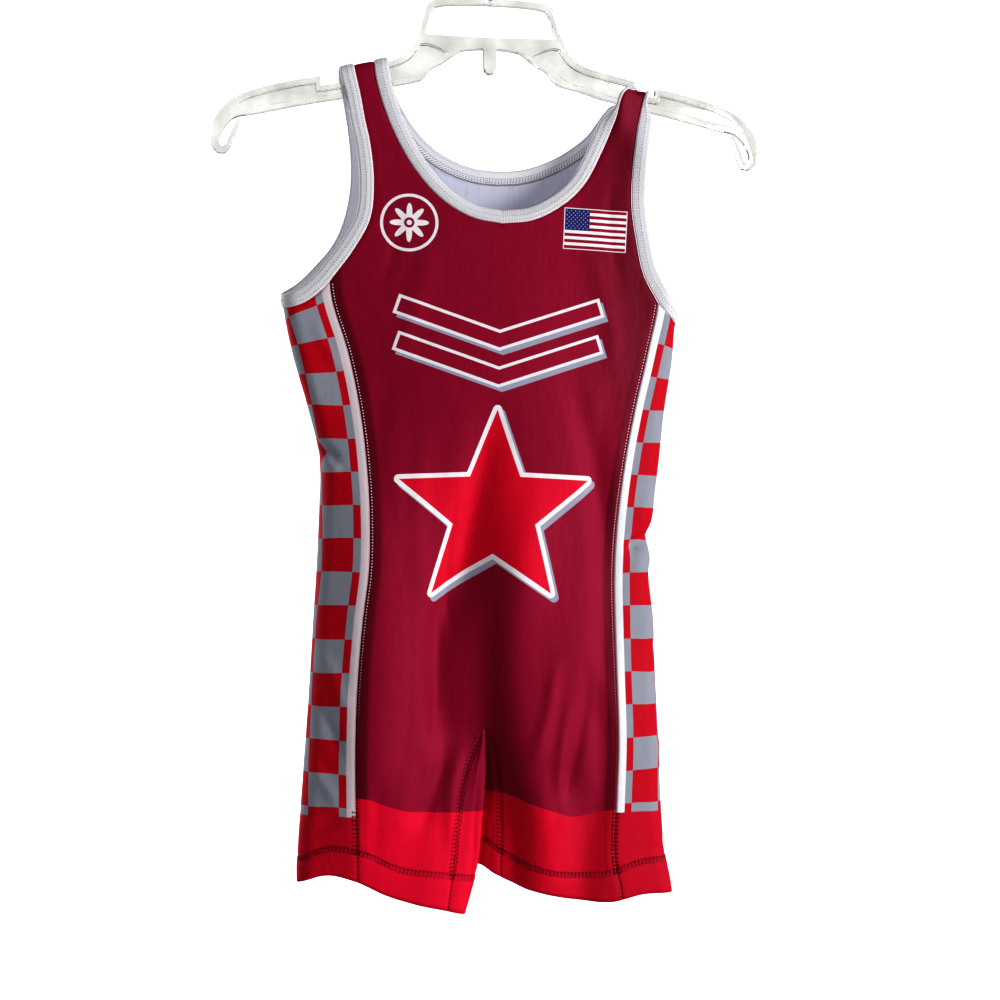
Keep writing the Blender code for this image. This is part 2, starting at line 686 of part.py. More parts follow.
# Half outline of the hanger's body, from the top middle out along the top edge and back underneath
TOP_EDGE = (
    (0, -50.6), (20, -51.2), (37, -52.6), (41.5, -55.4), (46.8, -75.0), (54, -88.0), (64, -94.0),
    (74, -96.3), (97.4, -101.9), (97.4, -109.4), (111.4, -112.2), (111.4, -105.8), (125, -108.3),
    (143, -112.6), (156, -116.6), (166, -121.0), (174, -127.6), (180, -136.0), (182.6, -147.0),
    (181, -153.8),
)  # fmt: skip
UNDER_EDGE = (
    (177, -157.6), (172.5, -157.6), (169.3, -154.2), (167.3, -148.0), (164.6, -141.5), (163.0, -135.9),
    (164.8, -135.5), (166.5, -139.0), (169.5, -145.5), (171.6, -151.6), (174, -153.8), (176, -152.4),
    (176.6, -148.0), (173.5, -141.0), (168, -135.0), (163.4, -133.1), (156, -132.0), (143, -129.0),
    (130, -125.8), (111, -121.9), (97.4, -119.6), (85, -115.7), (74, -113.6), (61.6, -109.4),
    (50, -107.0), (44.4, -105.4), (38.0, -97.0), (31.9, -94.4), (22, -86.9), (18, -84.8), (4.2, -83.6),
    (4.2, -96.0), (2.8, -99.2), (0, -100.2),
)  # fmt: skip
WINDOW = ((0, -54.2), (28, -55.2), (37.0, -57.2), (39.2, -60.8), (43.2, -73.0), (42.4, -75.8), (0, -76.6))
POCKET = (
    (28, -87.0), (40, -81.5), (46.4, -82.0), (52.5, -91.5), (63, -97.0), (74, -99.4), (94.6, -104.4),
    (94.6, -111.8), (113.8, -115.6), (114.2, -109.8), (125, -111.6), (143, -116.0), (156, -120.0),
    (164.5, -124.5), (160, -128.6), (143, -125.5), (130, -122.6), (111, -118.7), (97, -116.4),
    (85, -112.6), (74, -110.4), (62, -106.2), (48, -102.6), (38.6, -92.8), (30, -89.4),
)  # fmt: skip
BOSS_RADIUS, BOSS_TOP, BOSS_FOOT = 4.2, -44.0, -53.0
BORE_FOOT, STEM_FOOT = -51.9, -51.6


def prism(name, outline, low, high, look):
    """Solid of an outline in X and Z between two Y."""
    bm = bmesh.new()
    face = bm.faces.new([bm.verts.new((x, low, z)) for x, z in outline])
    grown = bmesh.ops.extrude_face_region(bm, geom=[face])["geom"]
    bmesh.ops.translate(bm, vec=(0, high - low, 0), verts=[v for v in grown if isinstance(v, bmesh.types.BMVert)])
    bmesh.ops.recalc_face_normals(bm, faces=bm.faces)
    return object_from(name, bm, look)


def both_sides(half):
    """A half outline that starts and ends on the middle, with its mirror image."""
    return list(half) + [(-x, z) for x, z in reversed(half) if x > 0]


def mirrored(outline):
    return [(-x, z) for x, z in reversed(outline)]


def combine(target, tool, operation):
    tool.hide_render = True
    tool.display_type = "WIRE"
    modifier = target.modifiers.new(tool.name, "BOOLEAN")
    modifier.operation = operation
    modifier.object = tool


def ring(points, radius, sides=16):
    """Rings of points round a line drawn in X and Z."""
    rings = []
    for i, (x, z) in enumerate(points):
        ahead, behind = points[min(i + 1, len(points) - 1)], points[max(i - 1, 0)]
        run = unit(np.subtract(ahead, behind))
        turns = [2 * math.pi * k / sides for k in range(sides)]
        rings.append(
            [(x - run[1] * radius * math.cos(t), radius * math.sin(t), z + run[0] * radius * math.cos(t)) for t in turns]
        )
    return rings


def rod(name, points, radius, look):
    """Solid round rod along a line drawn in X and Z."""
    bm = bmesh.new()
    rings = [[bm.verts.new(p) for p in points_round] for points_round in ring(points, radius)]
    for lower, upper in zip(rings, rings[1:]):
        for i in range(len(lower)):
            bm.faces.new((lower[i - 1], lower[i], upper[i], upper[i - 1]))
    bm.faces.new(rings[0])
    bm.faces.new(rings[-1])
    bmesh.ops.recalc_face_normals(bm, faces=bm.faces)
    return object_from(name, bm, look)


def build_hanger():
    clear = material("clear plastic", (0.66, 0.66, 0.63), 0.2)
    body = prism("hanger_body", both_sides(TOP_EDGE + UNDER_EDGE), -ARM_HALF, ARM_HALF, clear)
    beyond = ARM_HALF + 2
    combine(body, prism("cut_window", both_sides(WINDOW), -beyond, beyond, clear), "DIFFERENCE")
    for side, outline in ((RIGHT, POCKET), (LEFT, mirrored(POCKET))):
        front = prism("cut_front_pocket_" + side, outline, -beyond, -WEB_HALF, clear)
        back = prism("cut_back_pocket_" + side, outline, WEB_HALF, beyond, clear)
        combine(body, front, "DIFFERENCE")
        combine(body, back, "DIFFERENCE")
    combine(body, rod("join_boss", ((0, BOSS_FOOT), (0, BOSS_TOP)), BOSS_RADIUS, clear), "UNION")
    bore = rod("cut_bore", ((0, BORE_FOOT), (0, BOSS_TOP + 2)), HOOK_WIRE + BORE_GAP, clear)
    combine(body, bore, "DIFFERENCE")
    build_hook(material("hook wire", (0.55, 0.56, 0.58), 0.28, 1.0))


def build_hook(steel):
    """Wire hook, drawn on a line from its bore up and over to its open tip."""
    radius = HOOK_INSIDE + HOOK_WIRE
    centre = -HOOK_INSIDE
    line = [(0.0, STEM_FOOT), (0.0, -47.0), (0.4, centre - radius - 3.0)]
    for degrees in range(-72, 181, 12):
        a = math.radians(degrees)
        line.append((radius * math.cos(a), centre + radius * math.sin(a)))
    line.append((-radius + 0.6, centre - 5.0))
    rod("hanger_hook", line, HOOK_WIRE, steel)


def main():
    for obj in list(bpy.data.objects):
        bpy.data.objects.remove(obj, do_unlink=True)
    build_garment()
    build_hanger()


main()
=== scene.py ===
"""Looks of a youth wrestling singlet that hangs by its straps on a clear plastic hanger.

Lengths inside the shape code are millimetres, turned to metres when a mesh is made. X runs to the viewer's
right, Y to the back and Z up, with the origin where the hanger's hook hangs.
"""

from __future__ import annotations

import logging
import math
from collections.abc import Callable
from dataclasses import dataclass, field
from enum import Enum
from functools import partial, partialmethod
from typing import NamedTuple

import bmesh
import bpy
import numpy as np
from bmesh.types import BMesh, BMVert
from bpy.types import Material, Node, NodeTree, Object
from bpy.types import NodeSocket as Socket
from mathutils import Matrix, Vector

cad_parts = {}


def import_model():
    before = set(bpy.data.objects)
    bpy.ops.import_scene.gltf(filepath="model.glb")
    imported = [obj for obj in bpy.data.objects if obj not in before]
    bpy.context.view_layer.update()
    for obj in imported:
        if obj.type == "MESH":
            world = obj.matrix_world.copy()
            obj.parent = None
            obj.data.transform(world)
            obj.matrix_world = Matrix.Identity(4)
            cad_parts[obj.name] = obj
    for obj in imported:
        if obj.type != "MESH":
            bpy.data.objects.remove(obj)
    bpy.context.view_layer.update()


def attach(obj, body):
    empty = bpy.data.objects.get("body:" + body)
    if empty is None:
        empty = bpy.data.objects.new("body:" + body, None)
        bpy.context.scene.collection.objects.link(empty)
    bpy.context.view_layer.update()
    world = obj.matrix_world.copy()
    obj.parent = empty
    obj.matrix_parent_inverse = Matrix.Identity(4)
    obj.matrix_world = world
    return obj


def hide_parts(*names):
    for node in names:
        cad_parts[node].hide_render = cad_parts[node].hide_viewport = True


LOG = logging.getLogger("singlet")
MM = 0.001
BODY = "root"
Spot = tuple[float, float]
Triple = tuple[float, float, float]
Colour = Triple
Points = np.ndarray
Pair = tuple[Points, Points]
Outline = tuple[Spot, ...]


class Side(Enum):
    """Which half of the garment, as the viewer sees it from the front."""

    LEFT = "left"
    RIGHT = "right"

    @property
    def inwards(self) -> float:
        """Way along X to the garment's middle."""
        return 1.0 if self is Side.LEFT else -1.0


class Face(Enum):
    """Which layer of the garment."""

    FRONT = "front"
    BACK = "back"

    @property
    def outwards(self) -> float:
        """Way along Y out of the layer."""
        return -1.0 if self is Face.FRONT else 1.0


# ---- Shape tables ----

CROTCH_Z = -529.0
LEG_NOMINAL_END = -640.0
SIDE_PANEL_WIDTH = 65.2
BINDING_WIDTH = 9.4
STRAP_TURN = 7.0
FOLD_ROUND = 10.0
LEAN_REACH = 70.0
ARMHOLE_DIP = 17.0
ARMHOLE_DIP_REACH = 90.0
ROLL_X, ROLL_REACH, ROLL_HEIGHT = 86.0, 9.5, 7.0
ROLL_START, ROLL_FULL = -150.0, -112.0
NOTCH_BINDING_SHARE = 0.24
FOLDED_SHARE = 0.22
FROZEN = {Side.LEFT: -102.0, Side.RIGHT: -104.0}
SEAM_TOP = {Side.LEFT: -240.3, Side.RIGHT: -249.0}
NECK_FOOT = {Face.FRONT: -232.0, Face.BACK: -222.0}
NECK_ROW_ARM = {Face.FRONT: -213.0, Face.BACK: -188.0}


class Level(NamedTuple):
    """Trunk and outer leg at one height: folds and seams by X, depths, and the trough at the middle."""

    z: float
    fold_left: float
    seam_left: float
    middle: float
    seam_right: float
    fold_right: float
    depth: float
    edge_depth: float
    dip: float
    dip_width: float
    crest: float


LEVELS = tuple(Level(*row) for row in (
    (-660, -118, -83, -0.8, 93, 128, 14.5, 7, 0.10, 34, 0.50),
    (-640, -121, -83.5, -0.8, 91, 127.2, 15, 7, 0.10, 34, 0.50),
    (-615, -121.8, -84, -0.8, 86, 122.6, 16, 7, 0.14, 36, 0.50),
    (-580, -119.7, -84.8, -0.8, 86.6, 119.4, 18, 7.5, 0.20, 38, 0.50),
    (-540, -117, -85, -0.6, 87.4, 117.6, 20, 8, 0.26, 44, 0.52),
    (-500, -114.5, -83.8, 0.2, 86, 115, 21.5, 8, 0.38, 50, 0.60),
    (-460, -112.3, -80.8, 1.1, 84.8, 113.3, 22.5, 8, 0.58, 56, 0.75),
    (-425, -110.2, -77, 1.9, 84.4, 109.5, 23, 8, 0.78, 60, 0.88),
    (-390, -108.8, -77, 2.7, 86.2, 112, 23.5, 8, 0.92, 62, 0.98),
    (-355, -109.2, -79.8, 3.5, 90.5, 116, 23.5, 8, 1, 62, 1),
    (-320, -118, -85, 4.3, 97, 119.5, 23, 8, 1, 62, 1), (-285, -128.3, -92.8, 5.1, 105, 124.6, 22, 8, 1, 62, 1),
    (-250, -135, -103.5, 5.8, 112.2, 126.5, 19.5, 8, 1, 62, 1),
    (-200, -137, -106, 6.9, 114, 130, 15, 8, 1, 62, 1), (-160, -137, -106, 7.2, 114, 132, 10.5, 7.5, 1, 62, 1),
    (-120, -137, -106, 7.2, 114, 134, 7.2, 6.6, 1, 62, 1), (-90, -137, -106, 7.2, 114, 134, 6.2, 6.2, 1, 62, 1),
))  # fmt: skip


class LegLevel(NamedTuple):
    """Inner side of the legs at one height."""

    z: float
    fold_left: float
    fold_right: float
    round: float
    lean: float
    inseam_left: float
    inseam_right: float


LEG_LEVELS = tuple(LegLevel(*row) for row in (
    (-660, -15, -4, 9, 6, -26.5, 10.5), (-640, -9.3, -4, 9, 6, -23.2, 10), (-620, -4.2, -4, 9, 6, -20.4, 9.8),
    (-590, -1.4, -3.2, 9, 6, -17.2, 9.4), (-560, 0.8, -2.4, 7, 5, -12, 8.4), (-540, 0.9, -1.8, 3, 2, -5.4, 4.6),
    (CROTCH_Z, -0.5, -0.5, 0.01, 0, -0.5, -0.5),
))  # fmt: skip


class HemPoint(NamedTuple):
    """Height of the hems by how far across the leg from the side fold to the inner fold."""

    across: float
    left_front: float
    left_back: float
    right_front: float
    right_back: float


HEMS = tuple(HemPoint(*row) for row in (
    (0, -630, -630, -641, -641), (0.16, -624.5, -629, -640.8, -638.5), (0.33, -628.5, -631, -645, -637),
    (0.50, -637.5, -635, -643, -635), (0.67, -643.7, -639.5, -638.6, -632), (0.84, -648.3, -645.5, -632, -627),
    (1, -653, -653, -621, -621),
))  # fmt: skip

TOP = 0.0  # stands for the height where a strap crosses the hanger's top edge
NECK_SEAMS = {
    (Side.LEFT, Face.FRONT): (
        (6.9, -200.2), (-12.4, -196.6), (-31.7, -185.4), (-48.5, -167.4), (-62.7, -143.2), (-72.2, -118.8),
        (-76.4, -101), (-76.9, TOP),
    ),
    (Side.LEFT, Face.BACK): (
        (7.1, -171.7), (-8, -170.4), (-24, -165.8), (-40, -157), (-54, -144), (-66, -126),
        (-75, -104), (-76.9, TOP),
    ),
    (Side.RIGHT, Face.FRONT): (
        (6.9, -200.2), (26.4, -197.7), (46, -187.8), (61, -173.9), (73.6, -151.1), (82.8, -128),
        (86.8, -113), (90.4, -108.8), (95.6, -107.6), (99.8, -107.4), (101.5, TOP),
    ),
    (Side.RIGHT, Face.BACK): (
        (7.1, -171.7), (24, -170.2), (40, -165.4), (58, -156), (74, -143), (85, -128),
        (94.6, -117), (100.2, -111), (101.5, TOP),
    ),
}  # fmt: skip
ARM_SEAMS = {
    (Side.LEFT, Face.FRONT): (
        (-89.1, -218.7), (-78.9, -198.9), (-76.6, -174.6), (-79.3, -148), (-82.1, -135.7), (-86, -115.6),
        (-89.4, -101), (-90.2, TOP),
    ),
    (Side.LEFT, Face.BACK): (
        (-94, -219), (-85.5, -199), (-81.5, -176), (-81.5, -156), (-84, -135), (-87.5, -115),
        (-89.9, -102), (-90.2, TOP),
    ),
    (Side.RIGHT, Face.FRONT): (
        (102.4, -231), (97.2, -208), (94.2, -187), (94.4, -167), (97.2, -140), (100.8, -120),
        (103, -112), (105.6, TOP),
    ),
    (Side.RIGHT, Face.BACK): (
        (88.5, -229), (88, -208), (87.6, -187), (88.6, -167), (92.6, -140), (98, -122),
        (102.4, -113), (105.6, TOP),
    ),
}  # fmt: skip
RIDGES = {
    Side.LEFT: ((-104, -101), (-97, -99.2), (-82, -95.8), (-66, -92.2), (-60, -89)),
    Side.RIGHT: ((84, -97), (91, -98.5), (96.4, -104), (98, -107), (104, -108.1), (112, -109.3)),
}


class Crease(NamedTuple):
    """One soft fold: a line in X and Z, its half width, and how far it stands out (below 0: in)."""

    x0: float
    z0: float
    x1: float
    z1: float
    width: float
    rise: float


FRONT_CREASES = tuple(Crease(*row) for row in (
    (3, -322, -22, -470, 11, -5), (-29, -430, -24, -552, 11, -5.6), (27, -372, 30, -592, 20, 8.4),
    (-77, -322, -80, -628, 26, 7.9), (-8, -335, -6, -650, 38, -6.5), (-40, -330, -36, -470, 7, 0.8),
    (-22, -380, -21, -470, 3.2, -0.9), (-33, -450, -40, -560, 3.4, -0.7), (-52, -440, -57, -560, 3, -0.5),
    (-24, -543, -44, -596, 6, -2.6), (-15, -540, -22, -606, 5, 2.2), (-50, -552, -58, -606, 7, 1.3),
    (-70, -560, -72, -620, 4.5, -0.9), (54, -300, 74, -520, 9, -2.8), (70, -500, 73, -606, 8, -2.6),
    (99, -126, 121, -262, 12, 2.4), (44, -486, 30, -556, 4.4, 1.9), (66, -488, 44, -592, 4.6, -1.7),
    (54, -512, 51, -592, 3.6, 1.5), (37, -565, 40, -645, 14, 4.6), (60, -555, 62, -668, 11, -2.6),
    (12, -556, 14, -660, 8, -3.4), (-68, -300, -66, -400, 8, -1), (84, -300, 76, -400, 8, -1),
    (-40, -215, -62, -290, 7, 0.8), (62, -210, 84, -300, 7, 0.9), (-60, -190, -70, -240, 4, -0.6),
    (80, -170, 88, -240, 4, -0.7), (-108, -347, -98, -357, 3.2, -2.4), (-107, -355, -97, -364, 2.8, 1.4),
    (-114, -268, -96, -300, 4, 0.8), (-108, -480, -92, -520, 4.5, 1.2), (-112, -512, -94, -548, 4, -1.4),
    (-114, -548, -96, -580, 4.5, 1.1), (-118, -600, -96, -585, 4, -0.9), (116, -399, 92, -412, 4.6, -5.4),
    (116, -417, 96, -428, 5, 1.3), (112, -381, 98, -392, 5, 1), (118, -470, 98, -500, 4, -0.8),
    (120, -540, 100, -560, 4.5, 0.8), (124, -606, 102, -618, 4, -1.2),
))  # fmt: skip
BACK_CREASES = tuple(Crease(*row) for row in (
    (6, -330, 1, -440, 18, -2.2), (1, -430, 0, -518, 13, -3.8), (-28, -300, -24, -470, 11, 1.6),
    (34, -310, 27, -480, 10, 1.7), (-58, -380, -52, -530, 8, -1.1), (66, -400, 60, -520, 7, -1),
    (-72, -470, -40, -500, 6, 1), (74, -462, 44, -497, 6, 1.1), (-44, -240, -60, -330, 8, 0.9),
    (52, -235, 70, -320, 8, -0.9), (-20, -556, -44, -610, 6, 1.5), (26, -560, 46, -616, 6, 1.4),
    (-66, -560, -72, -620, 5, -1.1), (74, -560, 80, -628, 5, -1), (-96, -430, -84, -446, 4.5, 1.1),
    (-110, -352, -92, -360, 3.6, -1.6), (112, -400, 92, -409, 4.8, -3.2), (98, -500, 84, -520, 4.5, 0.9),
))  # fmt: skip


# ---- Numbers ----


def smooth(knots: Points, values: Points, at: Points) -> Points:
    """Reads a smooth curve through rising knots, held flat past its ends.

    Args:
        knots: Rising places.
        values: The value at each.
        at: Where to read.

    Returns:
        The values there.
    """
    knots, values = np.asarray(knots, float), np.asarray(values, float)
    at = np.clip(np.asarray(at, float), knots[0], knots[-1])
    step, gain = np.diff(knots), np.diff(values)
    rise = gain / step
    slope = np.concatenate([rise[:1], (rise[:-1] + rise[1:]) / 2, rise[-1:]])
    i = np.clip(np.searchsorted(knots, at) - 1, 0, len(step) - 1)
    t = (at - knots[i]) / step[i]
    bend = slope[i] * (t**3 - 2 * t**2 + t) + slope[i + 1] * (t**3 - t**2)
    return values[i] + gain[i] * (3 * t**2 - 2 * t**3) + step[i] * bend


def read(table: tuple, name: str, z: Points) -> Points:
    """Reads one column of a table of levels at heights z."""
    return smooth([row.z for row in table], [getattr(row, name) for row in table], z)


def ramp(value: Points, start: float, end: float) -> Points:
    """Rises from 0 at start to 1 at end with soft ends."""
    t = np.clip((np.asarray(value, float) - start) / (end - start), 0.0, 1.0)
    return t * t * (3 - 2 * t)


def quarter(share: Points) -> Points:
    """Height of a quarter circle at a share of its radius from its foot."""
    return np.sqrt(1 - (1 - np.clip(share, 0.0, 1.0)) ** 2)


def valley(share: Points) -> Points:
    """Height of a trough's side by the share of its half width: round at its foot, full towards its rim."""
    t = np.clip(share, 0.0, 1.0)
    return 0.65 * t * t * (3 - 2 * t) + 0.35 * np.sin(math.pi / 2 * t) ** 1.2


def lengths(line: Points) -> Points:
    """Length along a line to each of its points."""
    return np.concatenate([[0], np.cumsum(np.linalg.norm(np.diff(line, axis=0), axis=1))])


def even_line(line: Points, step: float = 1.5) -> Points:
    """Points of a line again at an even spacing."""
    length = lengths(line)
    at = np.linspace(0, length[-1], int(length[-1] / step) + 1)
    return np.stack([np.interp(at, length, column) for column in line.T], axis=-1)


def unit(vectors: Points) -> Points:
    """Directions at length 1."""
    return vectors / (np.linalg.norm(vectors, axis=-1, keepdims=True) + 1e-9)


def cloth_maps(**pairs: Pair) -> dict[str, Points]:
    """A piece's own maps by name, in metres, from pairs of lengths in millimetres."""
    return {name: np.stack(pair, axis=-1) * MM for name, pair in pairs.items()}


class Trace:
    """A smooth line through points of a plane, read by share of its length."""

    def __init__(self, points: list[Spot]) -> None:
        """Measures the line.

        Args:
            points: What it passes through.
        """
        known = np.asarray(points, float)
        chord = lengths(known)
        fine = np.linspace(0, chord[-1], 800)
        self.points = np.stack([smooth(chord, column, fine) for column in known.T], axis=1)
        self.length = lengths(self.points)

    def at(self, share: Points) -> Points:
        """Points at shares of the line's length."""
        place = np.asarray(share) * self.length[-1]
        return np.stack([np.interp(place, self.length, column) for column in self.points.T], axis=-1)

    def share_at_height(self, height: float) -> float:
        """Share of the length at which the line reaches a height."""
        order = np.argsort(self.points[:, 1])
        place = np.interp(height, self.points[order, 1], self.length[order])
        return float(place / self.length[-1])


# ---- The skin ----


@dataclass
class SkinTable:
    """Sections of a half at rising heights, read by length from the side fold."""

    heights: Points
    x: Points
    y: Points
    marks: dict[str, Points]

    def mark(self, name: str, height: Points) -> Points:
        """Length from the side fold to a named seam or fold at heights."""
        return np.interp(height, self.heights, self.marks[name])


@dataclass
class HalfSkin:
    """One half of the garment's skin, front and back, with its strap and leg."""

    side: Side
    reach: Points = field(default_factory=lambda: np.arange(-170.0, 345.0, 0.5))
    samples: int = 81

    def __post_init__(self) -> None:
        """Works out the sections of the trunk and of the leg."""
        self.trunk = self._table(np.arange(CROTCH_Z, -88.5, 1.0), False)
        self.leg = self._table(np.arange(-662.0, CROTCH_Z + 0.5, 1.0), True)

    def _table(self, heights: Points, is_leg: bool) -> SkinTable:
        """Builds the sections.

        Args:
            heights: Rising heights, 1 mm apart.
            is_leg: Whether they close round a leg.

        Returns:
            The table of sections.
        """
        name = self.side.value
        across = (1 - np.cos(np.linspace(0, math.pi, self.samples))) / 2
        fold = self.samples - 1
        xs, ys, marks = [], [], {key: [] for key in ("front_seam", "front_inner", "back_inner", "inseam")}
        for z in heights:
            level = Level(*(read(LEVELS, key, z) for key in Level._fields))
            leg = LegLevel(*(read(LEG_LEVELS, key, z) for key in LegLevel._fields))
            outer = getattr(level, "fold_" + name)
            inner = getattr(leg, "fold_" + name) if is_leg else level.middle
            span = abs(outer - inner)
            swell = np.sin(math.pi / 2 * np.minimum(1, (1 - across) / level.crest))
            trough = level.dip + (1 - level.dip) * valley(span * across / level.dip_width)
            half = level.edge_depth + (level.depth - level.edge_depth) * swell * trough
            half = half * quarter(span * (1 - across) / FOLD_ROUND)
            lean = np.zeros_like(across)
            if is_leg:
                half = half * quarter(span * across / leg.round)
                lean = -self.side.inwards * leg.lean * np.clip(1 - span * across / LEAN_REACH, 0, 1) ** 2
            x = inner + (outer - inner) * across
            x = np.concatenate([x, x[-2::-1]])
            y = np.concatenate([lean - half, (lean + half)[-2::-1]])
            if is_leg:
                x, y = np.concatenate([x, x[:fold]]), np.concatenate([y, y[:fold]])
            along = lengths(np.stack([x, y], axis=1))
            along -= along[fold]
            past = np.sign(x[0] - x[1]) * 40.0
            known = np.array([along[0] - 40.0, *along, along[-1] + 40.0])
            xs.append(np.interp(self.reach, known, [x[0] + past, *x, x[-1] + past]))
            ys.append(np.interp(self.reach, known, [y[0], *y, y[-1]]))
            order = np.argsort(x[: fold + 1])
            seams = {"front_seam": getattr(level, "seam_" + name), "inseam": getattr(leg, "inseam_" + name)}
            for mark, at in seams.items():
                marks[mark].append(np.interp(at, x[order], along[order]))
            marks["front_inner"].append(along[0])
            marks["back_inner"].append(along[2 * fold])
        found = {key: np.array(values) for key, values in marks.items()}
        found["back_seam"] = found["front_seam"] + SIDE_PANEL_WIDTH
        found["inseam_round"] = found["back_inner"] + found["inseam"] - found["front_inner"]
        return SkinTable(heights, np.array(xs), np.array(ys), found)

    def flat(self, along: Points, height: Points, leg: bool) -> Pair:
        """X and Y of the uncreased section at lengths and heights."""
        table = self.leg if leg else self.trunk
        level = np.minimum(height, FROZEN[self.side])
        row = np.clip(level - table.heights[0], 0, len(table.heights) - 1.001)
        col = np.clip((along - self.reach[0]) / (self.reach[1] - self.reach[0]), 0, len(self.reach) - 1.001)
        i, j = row.astype(int), col.astype(int)
        f, g = row - i, col - j
        found = []
        for grid in (table.x, table.y):
            low = grid[i, j] * (1 - g) + grid[i, j + 1] * g
            high = grid[i + 1, j] * (1 - g) + grid[i + 1, j + 1] * g
            found.append(low * (1 - f) + high * f)
        return found[0], found[1]

    def ridge_start(self, x: Points) -> Points:
        """Height at which the strap starts to turn over the hanger."""
        return np.interp(x, *zip(*RIDGES[self.side])) - STRAP_TURN

    def ridge_top(self, x: Points) -> Points:
        """Height up the cloth at which the strap is at its top."""
        return self.ridge_start(x) + STRAP_TURN * math.pi / 2

    def place(self, along: Points, height: Points, leg: bool = False, lift: Points | float = 0.0) -> Points:
        """Points of the creased skin.

        Args:
            along: Lengths from the side fold, below 0 on the front.
            height: Heights up the cloth.
            leg: Whether to read the leg's sections.
            lift: How far to stand off the skin, outwards.

        Returns:
            An array of points in millimetres.
        """
        along, height = np.broadcast_arrays(np.asarray(along, float), np.asarray(height, float))
        x, y = self.flat(along, height, leg)
        ahead, behind = (np.stack(self.flat(along + step, height, leg), axis=-1) for step in (1.5, -1.5))
        run = unit(ahead - behind) * self.side.inwards
        normal_x, normal_y = -run[..., 1], run[..., 0]
        if not leg:
            inner = self.trunk.mark("back_inner", np.minimum(height, FROZEN[self.side]))
            middle = 1 - ramp(inner - np.abs(along), 1.0, 9.0)
            normal_x = normal_x * (1 - middle)
            normal_y = normal_y * (1 - middle) + np.sign(along) * middle
        if self.side is Side.RIGHT:
            roll = ROLL_HEIGHT * np.exp(-(((x - ROLL_X) / ROLL_REACH) ** 2))
            y = y + np.copysign(roll * ramp(height, ROLL_START, ROLL_FULL), along)
        start = self.ridge_start(x)
        turn = np.clip((height - start) / STRAP_TURN, 0, math.pi / 2)
        y = y * np.sqrt(np.maximum(np.cos(turn), 0))
        z = np.where(height > start, start + STRAP_TURN * np.sin(turn), height)
        over = ramp(turn, 0.2, 1.35)
        off = crease_rise(x, z, normal_y) * (1 - ramp(height, -150, -118)) + lift
        x = x + normal_x * off * (1 - over)
        y = y + normal_y * off * (1 - over)
        return np.stack([x, y, z + off * over], axis=-1)


def crease_rise(x: Points, z: Points, facing: Points) -> Points:
    """How far creases lift the skin.

    Args:
        x: Places across.
        z: Places up.
        facing: The Y part of the outward direction: below 0 on the front.

    Returns:
        The lift at each place.
    """
    total = np.zeros_like(x)
    side = ramp(np.abs(x), 50.0, 80.0)
    for table, sign in ((FRONT_CREASES, -1.0), (BACK_CREASES, 1.0)):
        share = ramp(sign * facing, 0.1 - 0.6 * side, 0.7 - 0.3 * side)
        for fold in table:
            run = np.array([fold.x1 - fold.x0, fold.z1 - fold.z0], float)
            length = np.linalg.norm(run)
            run /= length
            t = (x - fold.x0) * run[0] + (z - fold.z0) * run[1]
            bend = math.sin(fold.x0 * 0.7 + fold.z1) * 0.06 * length
            bend = bend * np.sin(math.pi * np.clip(t / length, 0, 1))
            aside = (x - fold.x0) * run[1] - (z - fold.z0) * run[0] + bend
            ends = ramp(t, -0.12 * length, 0.3 * length) * (1 - ramp(t, 0.7 * length, 1.12 * length))
            total += share * fold.rise * np.exp(-((aside / fold.width) ** 2)) * ends
    return total


# ---- Charts: where each piece lies on the skin ----


@dataclass
class Patch:
    """A grid of points with its cloth coordinates."""

    points: Points
    maps: dict[str, Points]
    outward: Points


HEM_WIDTHS = {
    Side.LEFT: ((0, 16), (0.2, 19.3), (0.43, 21.2), (0.57, 20.6), (0.71, 22.4), (0.9, 24.6), (1, 26)),
    Side.RIGHT: ((0, 24.5), (0.12, 23.2), (0.35, 20.2), (0.58, 17), (0.76, 17.4), (0.9, 18.6), (1, 19)),
}
BAND_TOPS = {
    Side.LEFT: (
        (-122, -577), (-100, -575), (-79, -574), (-67, -578.4), (-51, -583), (-18.7, -584.5),
        (-3, -584.8),
    ),
    Side.RIGHT: (
        (-6, -571.6), (13.5, -573.5), (27.4, -578.4), (45.3, -584.4), (57.3, -588), (72.5, -586),
        (86.9, -583.8), (120, -583),
    ),
}  # fmt: skip


